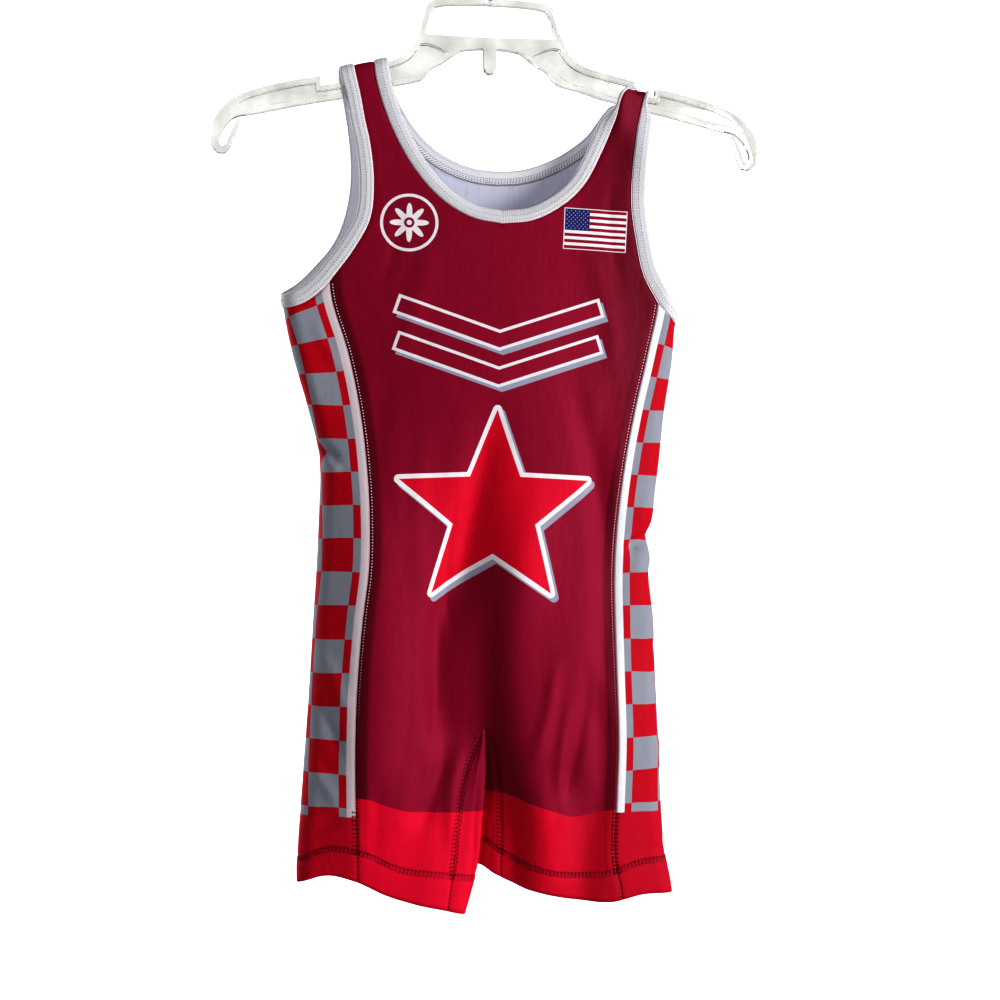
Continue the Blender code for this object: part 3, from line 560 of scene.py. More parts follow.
class Garment(HalfSkin):
    """A half of the skin with the lines that its pieces are cut to."""

    def seam(self, face: Face, height: Points) -> Points:
        """Length from the side fold to the side seam of a face."""
        name = face.value + "_seam"
        leg, trunk = (table.mark(name, height) for table in (self.leg, self.trunk))
        return np.where(np.asarray(height) < CROTCH_Z, leg, trunk)

    def along_at(self, face: Face, x: Points, height: Points) -> Points:
        """Length from the side fold to places across the trunk's front or back, found by halving."""
        x, height = np.broadcast_arrays(np.asarray(x, float), np.asarray(height, float))
        level = np.minimum(height, FROZEN[self.side])
        near, far = np.zeros(x.shape), np.abs(self.trunk.mark(face.value + "_inner", level))
        for _ in range(26):
            middle = (near + far) / 2
            found, _y = self.flat(face.outwards * middle, level, False)
            inside = (x - found) * self.side.inwards > 0
            near, far = np.where(inside, middle, near), np.where(inside, far, middle)
        return face.outwards * (near + far) / 2

    def middle(self, height: Points) -> Points:
        """X of the garment's middle."""
        return read(LEVELS, "middle", height)

    def leg_span(self, height: Points) -> Pair:
        """X of a leg's side fold, and from there to its inner fold."""
        outer = read(LEVELS, "fold_" + self.side.value, height)
        return outer, read(LEG_LEVELS, "fold_" + self.side.value, height) - outer

    def hem_height(self, along: Points, height: Points, across: Points) -> Points:
        """Height of the hem by the share across the leg from the side fold, where a place is round the leg."""
        knots, names = [row.across for row in HEMS], [f"{self.side.value}_{face.value}" for face in Face]
        front, back = (smooth(knots, [getattr(row, name) for row in HEMS], across) for name in names)
        in_front = (along < 0) | (along > self.leg.mark("back_inner", height) + 0.01)
        return np.where(in_front, front, back)

    def leg_grid(self, start: str, end: str, shares: Points, steps: Points) -> Pair:
        """Chart of part of a leg between two marks round it.

        Args:
            start: Mark where share 0 lies.
            end: Mark where share 1 lies.
            shares: Shares round, one for each column.
            steps: Shares of the way from the crotch to the hem, one for each row.

        Returns:
            The lengths from the side fold and the heights.
        """
        step, share = np.meshgrid(steps, shares, indexing="ij")
        level = CROTCH_Z + step * (LEG_NOMINAL_END - CROTCH_Z)
        height = level.copy()
        outer, span = self.leg_span(level)
        for _ in range(5):
            first, last = self.leg.mark(start, height), self.leg.mark(end, height)
            place = first + share * (last - first)
            x, _y = self.flat(place, height, True)
            height = level + step**2 * (self.hem_height(place, height, (x - outer) / span) - LEG_NOMINAL_END)
        return place, height

    def trunk_grid(self, face: Face, shares: Points, ups: Points) -> Pair:
        """Chart of a half panel between the crotch and the side seam's top."""
        up, share = np.meshgrid(ups, shares, indexing="ij")
        outer_z = CROTCH_Z + up * (SEAM_TOP[self.side] - CROTCH_Z)
        inner_z = CROTCH_Z + up * (NECK_FOOT[face] - CROTCH_Z)
        height = outer_z + share * (inner_z - outer_z)
        start_x, _y = self.flat(self.seam(face, height), height, False)
        return self.along_at(face, start_x + share * (self.middle(height) - start_x), height), height

    def traces(self, face: Face) -> tuple[Trace, Trace]:
        """The armhole's line up from the side seam's top and the neck's line up from the middle."""
        top = SEAM_TOP[self.side]
        corner, _y = self.flat(self.seam(face, np.array(top)), np.array(top), False)
        found = []
        for line in (((float(corner), top), *ARM_SEAMS[self.side, face]), NECK_SEAMS[self.side, face]):
            found.append(Trace([(x, float(self.ridge_top(x)) if z == TOP else z) for x, z in line]))
        return found[0], found[1]

    def upper_ends(self, face: Face, rows: tuple[int, int, int]) -> Pair:
        """Ends, as X and height, of the rows above the side seam's top.

        Args:
            face: Which panel.
            rows: How many rows up to the neck, up to the strap's turn and round it.

        Returns:
            The ends at the armhole and the ends at the middle or neck.
        """
        arm, neck = self.traces(face)
        split = arm.share_at_height(NECK_ROW_ARM[face])
        turns = [t.share_at_height(float(self.ridge_start(t.at(1.0)[0]))) for t in (arm, neck)]
        low, high, over = (np.arange(1, count + 1) / count for count in rows)
        height = NECK_FOOT[face] + low * (neck.at(0.0)[1] - NECK_FOOT[face])
        inner = [np.stack([self.middle(height), height], axis=-1)]
        inner += [neck.at(turns[1] * high), neck.at(turns[1] + (1 - turns[1]) * over)]
        outer = [arm.at(split * low), arm.at(split + (turns[0] - split) * high)]
        outer.append(arm.at(turns[0] + (1 - turns[0]) * over))
        return np.concatenate(outer), np.concatenate(inner)

    def upper_grid(self, face: Face, shares: Points, rows: tuple[int, int, int]) -> Pair:
        """Chart of a half panel above the side seam's top, where rows near the strap's top keep level."""
        outer, inner = self.upper_ends(face, rows)
        x, height = (outer[:, i : i + 1] + shares[None, :] * (inner - outer)[:, i : i + 1] for i in (0, 1))
        over_outer, over_inner = (line[:, 1:] - self.ridge_start(line[:, :1]) for line in (outer, inner))
        turned = over_outer + shares[None, :] * (over_inner - over_outer)
        height = height + ramp(turned, -15, 0) * (self.ridge_start(x) + turned - height)
        return self.along_at(face, x, height), height

    def above_hem(self, along: Points, height: Points) -> Points:
        """How far places lie above their leg's stitched hem line, in millimetres."""
        low = np.minimum(height, CROTCH_Z)
        outer, span = self.leg_span(low)
        share = np.clip((self.flat(along, low, True)[0] - outer) / span, 0, 1)
        return height - self.hem_height(along, low, share) - smooth(*zip(*HEM_WIDTHS[self.side]), share)

    def above_band(self, x: Points, z: Points) -> Points:
        """How far places lie above the top line of the leg's bright band, in millimetres."""
        return z - smooth(*zip(*BAND_TOPS[self.side]), x)


def seam_groove(distance: Points, depth: float = 0.45, width: float = 1.3) -> Points:
    """Lift of the cloth beside a seam: drawn down at it, with a slight swell next to it."""
    away = np.abs(distance)
    return -depth * np.exp(-((away / width) ** 2)) + 0.2 * depth * np.exp(-(((away - 4.6) / 2.6) ** 2))


def hem_lift(above: Points) -> Points:
    """Lift of a turned hem: one more layer below its stitched line, which is drawn in."""
    drawn = 0.5 * np.exp(-((above / 1.3) ** 2)) + 0.4 * np.exp(-(((above + 3) / 1.1) ** 2))
    return 0.5 * ramp(-above, -1.5, 2.5) - drawn


# ---- Making meshes ----


def grid_into(bm: BMesh, patch: Patch) -> None:
    """Adds a patch to a bmesh as a grid bent to its points.

    Args:
        bm: The mesh that is being made, in millimetres.
        patch: The grid of points with its maps.
    """
    rows, columns = patch.points.shape[:2]
    verts = bmesh.ops.create_grid(bm, x_segments=columns - 1, y_segments=rows - 1, size=1.0)["verts"]
    for vert, point in zip(verts, patch.points.reshape(-1, 3)):
        vert.co = Vector(point)
    index = {vert: i for i, vert in enumerate(verts)}
    values = {name: found.reshape(-1, 2) for name, found in patch.maps.items()}
    layers = {name: bm.loops.layers.uv.get(name) or bm.loops.layers.uv.new(name) for name in values}
    faces = {face for vert in verts for face in vert.link_faces}
    middle = verts[(rows // 2) * columns + columns // 2]
    middle.normal_update()
    for face in faces:
        face.smooth = True
        for loop in face.loops:
            i = index[loop.vert]
            for name, layer in layers.items():
                loop[layer].uv = values[name][i]
    central = min(faces, key=lambda f: (f.calc_center_median() - middle.co).length_squared)
    central.normal_update()
    if central.normal.dot(Vector(patch.outward)) < 0:
        bmesh.ops.reverse_faces(bm, faces=list(faces))


def new_object(name: str, bm: BMesh, *looks: Material, rounded: bool = False) -> Object:
    """Makes an object from a bmesh in millimetres, at the origin and unscaled.

    Args:
        name: The object's name.
        bm: The mesh, which is freed.
        *looks: Its materials, in the order of their slots.
        rounded: Whether its faces are shaded as one smooth surface.

    Returns:
        The object, linked to the scene.
    """
    bmesh.ops.scale(bm, vec=(MM, MM, MM), verts=bm.verts)
    mesh = bpy.data.meshes.new(name)
    bm.to_mesh(mesh)
    bm.free()
    if rounded:
        mesh.shade_smooth()
    for look in looks:
        mesh.materials.append(look)
    made = bpy.data.objects.new(name, mesh)
    bpy.context.scene.collection.objects.link(made)
    return made


def sheet_object(name: str, patches: list[Patch], wall: float, *looks: Material) -> Object:
    """Makes one piece of cloth from patches that share edges, with a wall inwards.

    Args:
        name: The object's name.
        patches: Its patches.
        wall: Thickness in millimetres.
        *looks: Its outer and inner materials.

    Returns:
        The object.
    """
    bm = bmesh.new()
    for patch in patches:
        grid_into(bm, patch)
    bmesh.ops.remove_doubles(bm, verts=bm.verts, dist=0.04)
    bm.normal_update()
    made = new_object(name, bm, *looks)
    solid = made.modifiers.new("wall", "SOLIDIFY")
    solid.thickness = wall * MM
    solid.offset = -1.0
    solid.material_offset = 1
    return made


# ---- Thread ----


@dataclass(frozen=True)
class StitchRun:
    """A row of stitches: the size of each, how they are spaced and how they lean."""

    pitch: float
    length: float
    radius: float
    lean: float = 0.0
    stand: float = 0.12

    def along(self, points: Points, normals: Points) -> list[Matrix]:
        """Places of the stitches along a line.

        Args:
            points: The line's points in millimetres.
            normals: The outward direction at each point.

        Returns:
            A matrix for each stitch.
        """
        length = lengths(points)
        count = max(int(length[-1] / self.pitch), 1)
        found = []
        for place in (np.arange(count) + 0.5) * length[-1] / count:
            at, ahead, behind, up = (
                Vector([float(np.interp(place + shift, length, column)) for column in line.T])
                for line, shift in ((points, 0.0), (points, 0.4), (points, -0.4), (normals, 0.0))
            )
            up.normalize()
            run = (ahead - behind).normalized()
            side = up.cross(run).normalized()
            run = (run * math.cos(self.lean) + side * math.sin(self.lean)).normalized()
            turn = Matrix((run, up.cross(run).normalized(), up)).transposed().to_4x4()
            size = Matrix.Diagonal((self.length / 2, self.radius, self.radius * 0.8, 1.0))
            found.append(Matrix.Translation(at + up * self.stand) @ turn @ size)
        return found


Row = tuple[StitchRun, Points, Points]


def thread_object(name: str, rows: list[Row], look: Material) -> Object:
    """Makes the stitches of one seam as small beads of thread.

    Args:
        name: The object's name.
        rows: Each row's stitch, points and outward directions.
        look: The thread's finish.

    Returns:
        The object.
    """
    bm = bmesh.new()
    for stitch, points, normals in rows:
        for place in stitch.along(points, normals):
            bmesh.ops.create_icosphere(bm, subdivisions=1, radius=1.0, matrix=place)
    return new_object(name, bm, look, rounded=True)


# ---- Finishes ----


def shade(red: int, green: int, blue: int) -> Colour:
    """Turns a display colour, 0 to 255, into a linear one."""
    found = [c / 255 / 12.92 if c <= 10 else ((c / 255 + 0.055) / 1.055) ** 2.4 for c in (red, green, blue)]
    return (found[0], found[1], found[2])


MAROON = shade(133, 10, 46)
MAROON_DEEP = shade(80, 3, 20)
BAND_RED = shade(216, 8, 54)
PRINT_RED = shade(200, 6, 42)
CHECK_RED = shade(214, 8, 44)
CHECK_GREY = shade(171, 174, 188)
CLOTH_WHITE = shade(226, 227, 233)
INNER_WHITE = shade(190, 192, 208)
RIB_WHITE = shade(212, 213, 217)
SHADOW_GREY = shade(150, 158, 176)
CANTON_BLUE = shade(0, 44, 104)

Number = Socket | float


class Graph:
    """Writes shader nodes into a tree, left to right."""

    def __init__(self, tree: NodeTree) -> None:
        """Starts on a tree."""
        self.tree = tree

    def node(self, kind: str, **settings: object) -> Node:
        """Adds a node and sets its own options."""
        made = self.tree.nodes.new("ShaderNode" + kind)
        for name, value in settings.items():
            setattr(made, name, value)
        return made

    def feed(self, socket: Socket, value: object) -> None:
        """Links a socket to another, or sets its number or colour."""
        if isinstance(value, Socket):
            self.tree.links.new(value, socket)
        elif isinstance(value, tuple) and len(value) == 3 and socket.type == "RGBA":
            socket.default_value = (*value, 1.0)
        else:
            socket.default_value = value

    def fill(self, node: Node, values: dict[str | int, object]) -> Node:
        """Links or sets a node's inputs by name or number."""
        for name, value in values.items():
            self.feed(node.inputs[name], value)
        return node

    def math(self, operation: str, *values: Number, clamp: bool = False) -> Socket:
        """Adds a Math node.

        Args:
            operation: Its operation.
            *values: Its inputs.
            clamp: Whether to hold the result between 0 and 1.

        Returns:
            Its output.
        """
        made = self.node("Math", operation=operation, use_clamp=clamp)
        return self.fill(made, dict(enumerate(values))).outputs[0]

    plus = partialmethod(math, "ADD")
    minus = partialmethod(math, "SUBTRACT")
    times = partialmethod(math, "MULTIPLY")
    over = partialmethod(math, "DIVIDE")
    line = partialmethod(math, "MULTIPLY_ADD")
    size = partialmethod(math, "ABSOLUTE")
    least = partialmethod(math, "MINIMUM")
    most = partialmethod(math, "MAXIMUM")

    def length(self, x: Socket, y: Socket) -> Socket:
        """Length of a flat vector."""
        return self.math("SQRT", self.plus(self.times(x, x), self.times(y, y)))

    def mix(self, share: Number, first: object, second: object, blend: str = "MIX") -> Socket:
        """Mixes two colours by a share of the second."""
        made = self.node("Mix", data_type="RGBA", blend_type=blend)
        return self.fill(made, {0: share, 6: first, 7: second}).outputs[2]

    def inside(self, distance: Number, soft: float = 0.25, grow: float = 0.0) -> Socket:
        """Mask of what lies inside an edge, from the distance outside it."""
        return self.line(distance, -1 / soft, grow / soft + 0.5, clamp=True)

    def beside(self, distance: Number, middle: float, half: float, soft: float = 0.25) -> Socket:
        """Mask of a band about a line, from the distance to it."""
        return self.inside(self.minus(self.size(self.minus(distance, middle)), half), soft)

    def noise(self, vector: Socket, scale: float, detail: float = 2.0, rough: float = 0.5) -> Socket:
        """Adds soft noise."""
        values = {"Vector": vector, "Scale": scale, "Detail": detail, "Roughness": rough}
        return self.fill(self.node("TexNoise"), values).outputs[0]

    def place(self, vector: Socket, scale: Triple = (1, 1, 1), move: Triple = (0, 0, 0)) -> Socket:
        """Scales and then moves a vector."""
        return self.fill(self.node("Mapping"), {"Vector": vector, "Scale": scale, "Location": move}).outputs[0]

    def split(self, vector: Socket) -> list[Socket]:
        """The parts of a vector."""
        return self.fill(self.node("SeparateXYZ"), {0: vector}).outputs[:]

    def cloth_map(self, name: str) -> Socket:
        """A piece's own map, in millimetres."""
        return self.place(self.node("UVMap", uv_map=name).outputs[0], (1000, 1000, 1000))

    def body(self) -> Socket:
        """Place on the object, in millimetres."""
        return self.place(self.node("TexCoord").outputs["Object"], (1000, 1000, 1000))


class Effect(Graph):
    """An effect that several finishes share: a node group built once."""

    def __init__(self, name: str, takes: tuple[str, ...]) -> None:
        """Starts the group.

        Args:
            name: Its name.
            takes: Names of its number inputs, beside the place on the cloth.
        """
        super().__init__(bpy.data.node_groups.new(name, "ShaderNodeTree"))
        self.tree.interface.new_socket(name="Place", in_out="INPUT", socket_type="NodeSocketVector")
        for title in takes:
            self.tree.interface.new_socket(name=title, in_out="INPUT", socket_type="NodeSocketFloat")
        self.taken = self.tree.nodes.new("NodeGroupInput").outputs

    def give(self, **values: Socket) -> NodeTree:
        """Puts out the group's results by name."""
        for title in values:
            self.tree.interface.new_socket(name=title, in_out="OUTPUT", socket_type="NodeSocketFloat")
        self.fill(self.tree.nodes.new("NodeGroupOutput"), values)
        return self.tree


class Effects:
    """The shared effects."""

    def __init__(self) -> None:
        """Builds the groups."""
        self.knit = self._knit()
        self.rib = self._rib()
        self.star = self._star()
        self.wear = self._wear()

    @staticmethod
    def _knit() -> NodeTree:
        """Fine jersey: wales of small V stitches, and a slow unevenness of the yarn."""
        g = Effect("jersey knit", ("Pitch",))
        place, pitch, _end = g.taken
        x, y, _z = g.split(place)
        leg = g.math("PINGPONG", g.over(x, pitch), 0.5)
        wale = g.math("SINE", g.times(leg, math.pi * 2))
        row = g.plus(g.over(y, g.times(pitch, 0.8)), g.times(leg, 1.5))
        course = g.line(g.math("SINE", g.times(row, math.pi * 2)), 0.5, 0.5)
        slow = g.noise(place, 0.09, 4.0, 0.6)
        yarn = g.noise(g.place(place, (0.35, 1.6, 1.0)), 1.0)
        height = g.line(wale, g.line(course, 0.5, 0.5), g.times(yarn, 0.5))
        return g.give(Height=height, Uneven=g.line(yarn, 0.4, g.times(slow, 0.6)))

    @staticmethod
    def _rib() -> NodeTree:
        """Bound edge: fine ribs square to the edge, with a mask of their grooves for painted shade."""
        g = Effect("edge rib", ("Pitch",))
        place, pitch, _end = g.taken
        x, _y, _z = g.split(place)
        loose = g.noise(g.place(place, (0.5, 0.2, 1.0)), 1.0)
        phase = g.times(g.plus(x, g.times(loose, 0.9)), math.pi * 2)
        tick = g.line(g.math("SINE", g.over(phase, pitch)), 0.5, 0.5)
        height = g.line(g.noise(place, 2.6, 3.0), 0.5, tick)
        return g.give(Height=height, Tick=g.math("POWER", g.minus(1.0, tick), 4.0))

    @staticmethod
    def _star() -> NodeTree:
        """Distance outside a five-pointed star."""
        g = Effect("five-point star", ("Reach", "Waist"))
        place, reach, waist, _end = g.taken
        x, y, _z = g.split(place)
        x = g.size(x)
        cos, sin = math.cos(math.radians(36)), math.sin(math.radians(36))
        for way in (cos, -cos):
            over = g.most(g.plus(g.times(x, way), g.times(y, -sin)), 0.0)
            x = g.minus(x, g.times(over, 2 * way))
            y = g.minus(y, g.times(over, -2 * sin))
        x = g.size(x)
        y = g.minus(y, reach)
        edge_x = g.times(waist, sin)
        edge_y = g.line(waist, cos, -1.0)
        dot = g.plus(g.times(x, edge_x), g.times(y, edge_y))
        share = g.over(dot, g.plus(g.times(edge_x, edge_x), g.times(edge_y, edge_y)))
        share = g.least(g.most(share, 0.0), reach)
        length = g.length(g.minus(x, g.times(edge_x, share)), g.minus(y, g.times(edge_y, share)))
        turn = g.math("SIGN", g.minus(g.times(y, edge_x), g.times(x, edge_y)))
        return g.give(Distance=g.times(length, turn))

    @staticmethod
    def _wear() -> NodeTree:
        """Pale specks and rubbed streaks where a print has been handled."""
        g = Effect("rubbed print", ("Amount",))
        place, amount, _end = g.taken
        broad = g.noise(place, 0.035, 3.0, 0.6)
        fine = g.noise(g.place(place, (1.0, 0.6, 1.0), (3.0, 7.0, 0.0)), 0.5, 4.0, 0.65)
        streak = g.times(g.minus(broad, 0.52), g.minus(fine, 0.5))
        return g.give(Mask=g.times(g.times(streak, 14.0), amount, clamp=True))


@dataclass(frozen=True)
class ClothFinish:
    """How a knit takes light."""

    roughness: float = 0.62
    sheen: float = 0.03
    sheen_roughness: float = 0.35
    bump: float = 0.16
    pitch: float = 0.62
    crumple: float = 26.0
    specular: float = 0.12
    gloss: Colour = (1.0, 1.0, 1.0)


class Finish(Graph):
    """One material with its shader, ready for its colour to be wired in."""

    def __init__(self, name: str, effects: Effects, look: ClothFinish = ClothFinish()) -> None:
        """Starts the material.

        Args:
            name: Its name.
            effects: The shared effects.
            look: How it takes light.
        """
        self.material = bpy.data.materials.new(name)
        self.material.use_nodes = True
        super().__init__(self.material.node_tree)
        self.shader = self.tree.nodes["Principled BSDF"]
        self.effects = effects
        self.look = look
        values = {"Roughness": look.roughness, "Specular IOR Level": look.specular, "Specular Tint": look.gloss}
        values |= {"Sheen Weight": look.sheen, "Sheen Roughness": look.sheen_roughness}
        self.fill(self.shader, {"Sheen Tint": (1.0, 0.62, 0.68), **values})

    def effect(self, tree: NodeTree, **values: object) -> Node:
        """Places a shared effect with its own values."""
        return self.fill(self.node("Group", node_tree=tree), values)

    def knit(self, place: Socket, colour: Socket, depth: float = 0.10) -> Material:
        """Wires a colour through the knit's unevenness, with its bump.

        Args:
            place: The cloth's own place, in millimetres.
            colour: The dyed or printed colour.
            depth: How much the yarn's unevenness darkens it.

        Returns:
            The finished material.
        """
        knit = self.effect(self.effects.knit, Place=place, Pitch=self.look.pitch)
        level = self.line(knit.outputs["Uneven"], depth * 2, 1.0 - depth)
        tone = self.fill(self.node("CombineColor"), {0: level, 1: level, 2: level}).outputs[0]
        _red, green, blue = self.split(colour)
        matt = self.times(self.plus(green, blue), 8.0, clamp=True)
        dull = self.line(matt, 0.9 - self.look.roughness, self.look.roughness - 0.08)
        rough = self.line(knit.outputs["Uneven"], 0.16, dull)
        crumple = self.noise(self.place(place, (0.11, 0.045, 1.0)), 1.0, 3.0, 0.55)
        height = self.line(crumple, self.look.crumple, knit.outputs["Height"])
        colour = self.mix(1.0, colour, tone, "MULTIPLY")
        return self.done(colour, height, self.look.bump, 0.0003, Roughness=rough)

    def glow(self, colour: Colour, strength: float) -> None:
        """Painted light: makes thin cloth glow evenly, standing in for light that comes through it."""
        self.fill(self.shader, {"Emission Color": colour, "Emission Strength": strength})

    def done(
        self, colour: Socket, height: Socket, strength: float, distance: float, **more: object
    ) -> Material:
        """Wires in the colour and a bump.

        Args:
            colour: The base colour.
            height: The bump's height.
            strength: The bump's strength.
            distance: The bump's depth in metres.
            **more: The shader's other inputs.

        Returns:
            The finished material.
        """
        bump = self.fill(self.node("Bump"), {"Strength": strength, "Distance": distance, "Height": height})
        self.fill(self.shader, {"Base Color": colour, "Normal": bump.outputs["Normal"], **more})
        return self.material


@dataclass(frozen=True)
class ChestPrint:
    """Sizes of the print on the chest, in millimetres on the flat cloth."""

    star_at: Spot = (0.0, -388.0)
    star_reach: float = 66.0
    star_waist: float = 0.42
    outline: float = 3.0
    shadow: Spot = (2.4, -2.8)
    chevron_tops: Spot = (-250.0, -274.0)
    chevron_half: float = 66.0
    chevron_fall: float = 0.34
    chevron_band: float = 9.0
    emblem_at: Spot = (-60.5, -201.0)
    emblem_reach: float = 19.0
    flag_at: Spot = (62.6, -202.5)
    flag_size: Spot = (41.6, 26.4)
    flag_turn: float = -1.8

    def paint(self, g: Finish, colour: Socket, place: Socket) -> Socket:
        """Paints the print over a cloth's colour.

        Args:
            g: The finish whose nodes are written.
            colour: The cloth's colour.
            place: Place on the flat cloth, in millimetres.

        Returns:
            The colour with the print.
        """
        for motif in (self._star, self._chevrons, self._emblem, self._flag):
            colour = motif(g, colour, place)
        return colour

    @staticmethod
    def _from(g: Finish, place: Socket, *spots: Spot) -> Socket:
        """Place as seen from the sum of some spots."""
        return g.place(place, move=(-sum(x for x, _y in spots), -sum(y for _x, y in spots), 0.0))

    @staticmethod
    def _outlined(g: Finish, colour: Socket, shapes: list[Socket], grow: float, fill: Colour) -> Socket:
        """A shape with a pale outline, over its grey shadow: distances outside the shadow and the shape."""
        colour = g.mix(g.inside(shapes[0], grow=grow), colour, SHADOW_GREY)
        colour = g.mix(g.inside(shapes[1], grow=grow), colour, CLOTH_WHITE)
        return g.mix(g.inside(shapes[1]), colour, fill)

    def _star(self, g: Finish, colour: Socket, place: Socket) -> Socket:
        """A bright star with a pale outline and a grey shadow."""
        shapes = []
        for move in (self.shadow, (0.0, 0.0)):
            here = self._from(g, place, self.star_at, move)
            star = g.effect(g.effects.star, Place=here, Reach=self.star_reach, Waist=self.star_waist)
            shapes.append(star.outputs[0])
        return self._outlined(g, colour, shapes, self.outline, PRINT_RED)

    def _chevrons(self, g: Finish, colour: Socket, place: Socket) -> Socket:
        """Two nested chevrons with pale outlines and grey shadows."""
        for top in self.chevron_tops:
            shapes = []
            for move in (self.shadow, (0.0, 0.0)):
                x, y, _z = g.split(self._from(g, place, (self.star_at[0], top), move))
                aside = g.size(x)
                fall = g.line(aside, -self.chevron_fall, self.chevron_half * self.chevron_fall)
                centre = g.plus(g.plus(y, fall), self.chevron_band / 2)
                across = g.minus(g.times(g.size(centre), 0.947), self.chevron_band / 2)
                shapes.append(g.most(across, g.minus(g.plus(aside, g.times(centre, 0.3)), self.chevron_half)))
            colour = self._outlined(g, colour, shapes, 2.0, MAROON)
        return colour

    def _emblem(self, g: Finish, colour: Socket, place: Socket) -> Socket:
        """A round badge: a plain ring about a rosette of eight petals."""
        x, y, _z = g.split(self._from(g, place, self.emblem_at))
        reach = g.length(x, y)
        ring = g.minus(g.size(g.minus(reach, self.emblem_reach - 1.0)), 1.0)
        petal = g.line(g.math("COSINE", g.times(g.math("ARCTAN2", x, y), 8.0)), 3.6, 9.2)
        flower = g.most(g.times(g.minus(reach, petal), 0.6), g.minus(3.4, reach))
        flower = g.least(flower, g.minus(reach, 1.7))
        rubbed = g.effect(g.effects.wear, Place=place, Amount=0.5).outputs[0]
        mask = g.minus(g.inside(g.least(ring, flower)), g.times(rubbed, 0.6), clamp=True)
        return g.mix(mask, colour, CLOTH_WHITE)

    def _flag(self, g: Finish, colour: Socket, place: Socket) -> Socket:
        """The flag of the United States, with a thin pale edge."""
        cos, sin = math.cos(math.radians(self.flag_turn)), math.sin(math.radians(self.flag_turn))
        x, y, _z = g.split(self._from(g, place, self.flag_at))
        x, y = g.plus(g.times(x, cos), g.times(y, sin)), g.minus(g.times(y, cos), g.times(x, sin))
        wide, high = self.flag_size
        box = g.most(g.minus(g.size(x), wide / 2), g.minus(g.size(y), high / 2))
        x, y = g.plus(x, wide / 2), g.minus(high / 2, y)
        stripe = high / 13
        pale = g.math("FLOORED_MODULO", g.math("FLOOR", g.over(y, stripe)), 2.0)
        field_x, field_y = 0.4 * wide, 7 * stripe
        canton = g.inside(g.most(g.minus(x, field_x), g.minus(y, field_y)), 0.15)
        step_x, step_y = field_x / 12, field_y / 10
        column, line = g.over(x, step_x), g.over(y, step_y)
        near_x, near_y = g.math("ROUND", column), g.math("ROUND", line)
        off = g.length(g.times(g.minus(column, near_x), step_x), g.times(g.minus(line, near_y), step_y))
        dots = g.inside(g.minus(off, 0.36), 0.2)
        dots = g.times(dots, g.math("LESS_THAN", g.math("FLOORED_MODULO", g.plus(near_x, near_y), 2.0), 0.5))
        dots = g.times(dots, g.math("GREATER_THAN", g.least(column, line), 0.5))
        dots = g.times(dots, g.times(g.math("LESS_THAN", column, 11.5), g.math("LESS_THAN", line, 9.5)))
        stripes = g.mix(pale, shade(128, 12, 40), CLOTH_WHITE)
        field_colour = g.mix(dots, CANTON_BLUE, shade(150, 172, 214))
        colour = g.mix(g.inside(box, grow=0.55), colour, CLOTH_WHITE)
        return g.mix(g.inside(box, 0.15), colour, g.mix(canton, stripes, field_colour))


@dataclass(frozen=True)
class CheckPrint:
    """The checked side panel across from its front seam, in millimetres."""

    width: float = SIDE_PANEL_WIDTH
    stripe: float = 5.7
    sliver: float = 5.0
    square: float = 21.0
    foot: float = -586.0
    # tone and pale hold the panel's painted shade: its checks and red are dimmed, and on the left the stripe's
    # white is greyed.
    tone: float = 0.75
    pinch: float = 6.0
    pale: Colour = shade(206, 194, 201)

    def with_painted_shade(self, colour: Colour) -> Colour:
        """A colour dimmed by this panel's painted shade."""
        return tuple(part * self.tone for part in colour)

    def paint(self, g: Finish, place: Socket, grey_first: bool) -> Socket:
        """Colour of the panel: white edge stripes, checks between them and red to the hem, dimmed by painted
        shade.

        Args:
            g: The finish whose nodes are written.
            place: Place on the flat cloth, in millimetres: across from the seam, and height.
            grey_first: Whether the first full column is grey in the topmost row.

        Returns:
            The colour.
        """
        x, y, _z = g.split(place)
        near = g.minus(1.0, g.over(g.size(g.plus(y, 351.0)), 8.0), clamp=True)
        x = g.line(g.times(near, g.line(x, 0.07, -1.0, clamp=True)), self.pinch, x)
        lean = g.math("POWER", g.line(y, 0.0152, 4.88, clamp=True), 1.5)
        y = g.line(g.times(lean, 0.45), g.minus(x, 8.0), y)
        wobble = g.noise(g.place(place, (0.03, 0.012, 1.0)), 1.0, 1.0)
        y = g.line(g.minus(wobble, 0.5), 3.0, y)
        column = g.math("FLOOR", g.over(g.minus(x, self.stripe + self.sliver), self.square))
        row = g.math("FLOOR", g.over(g.plus(y, 580.0), 21.68))
        other = g.math("FLOORED_MODULO", g.plus(column, row), 2.0)
        grey = g.minus(1.0, other) if grey_first else other
        checks = g.mix(grey, self.with_painted_shade(CHECK_RED), self.with_painted_shade(CHECK_GREY))
        from_edge = g.least(x, g.minus(self.width, x))
        colour = g.mix(g.inside(g.minus(from_edge, self.stripe), 0.4), checks, self.pale)
        return g.mix(g.inside(g.minus(y, self.foot), 0.4), colour, self.with_painted_shade(BAND_RED))


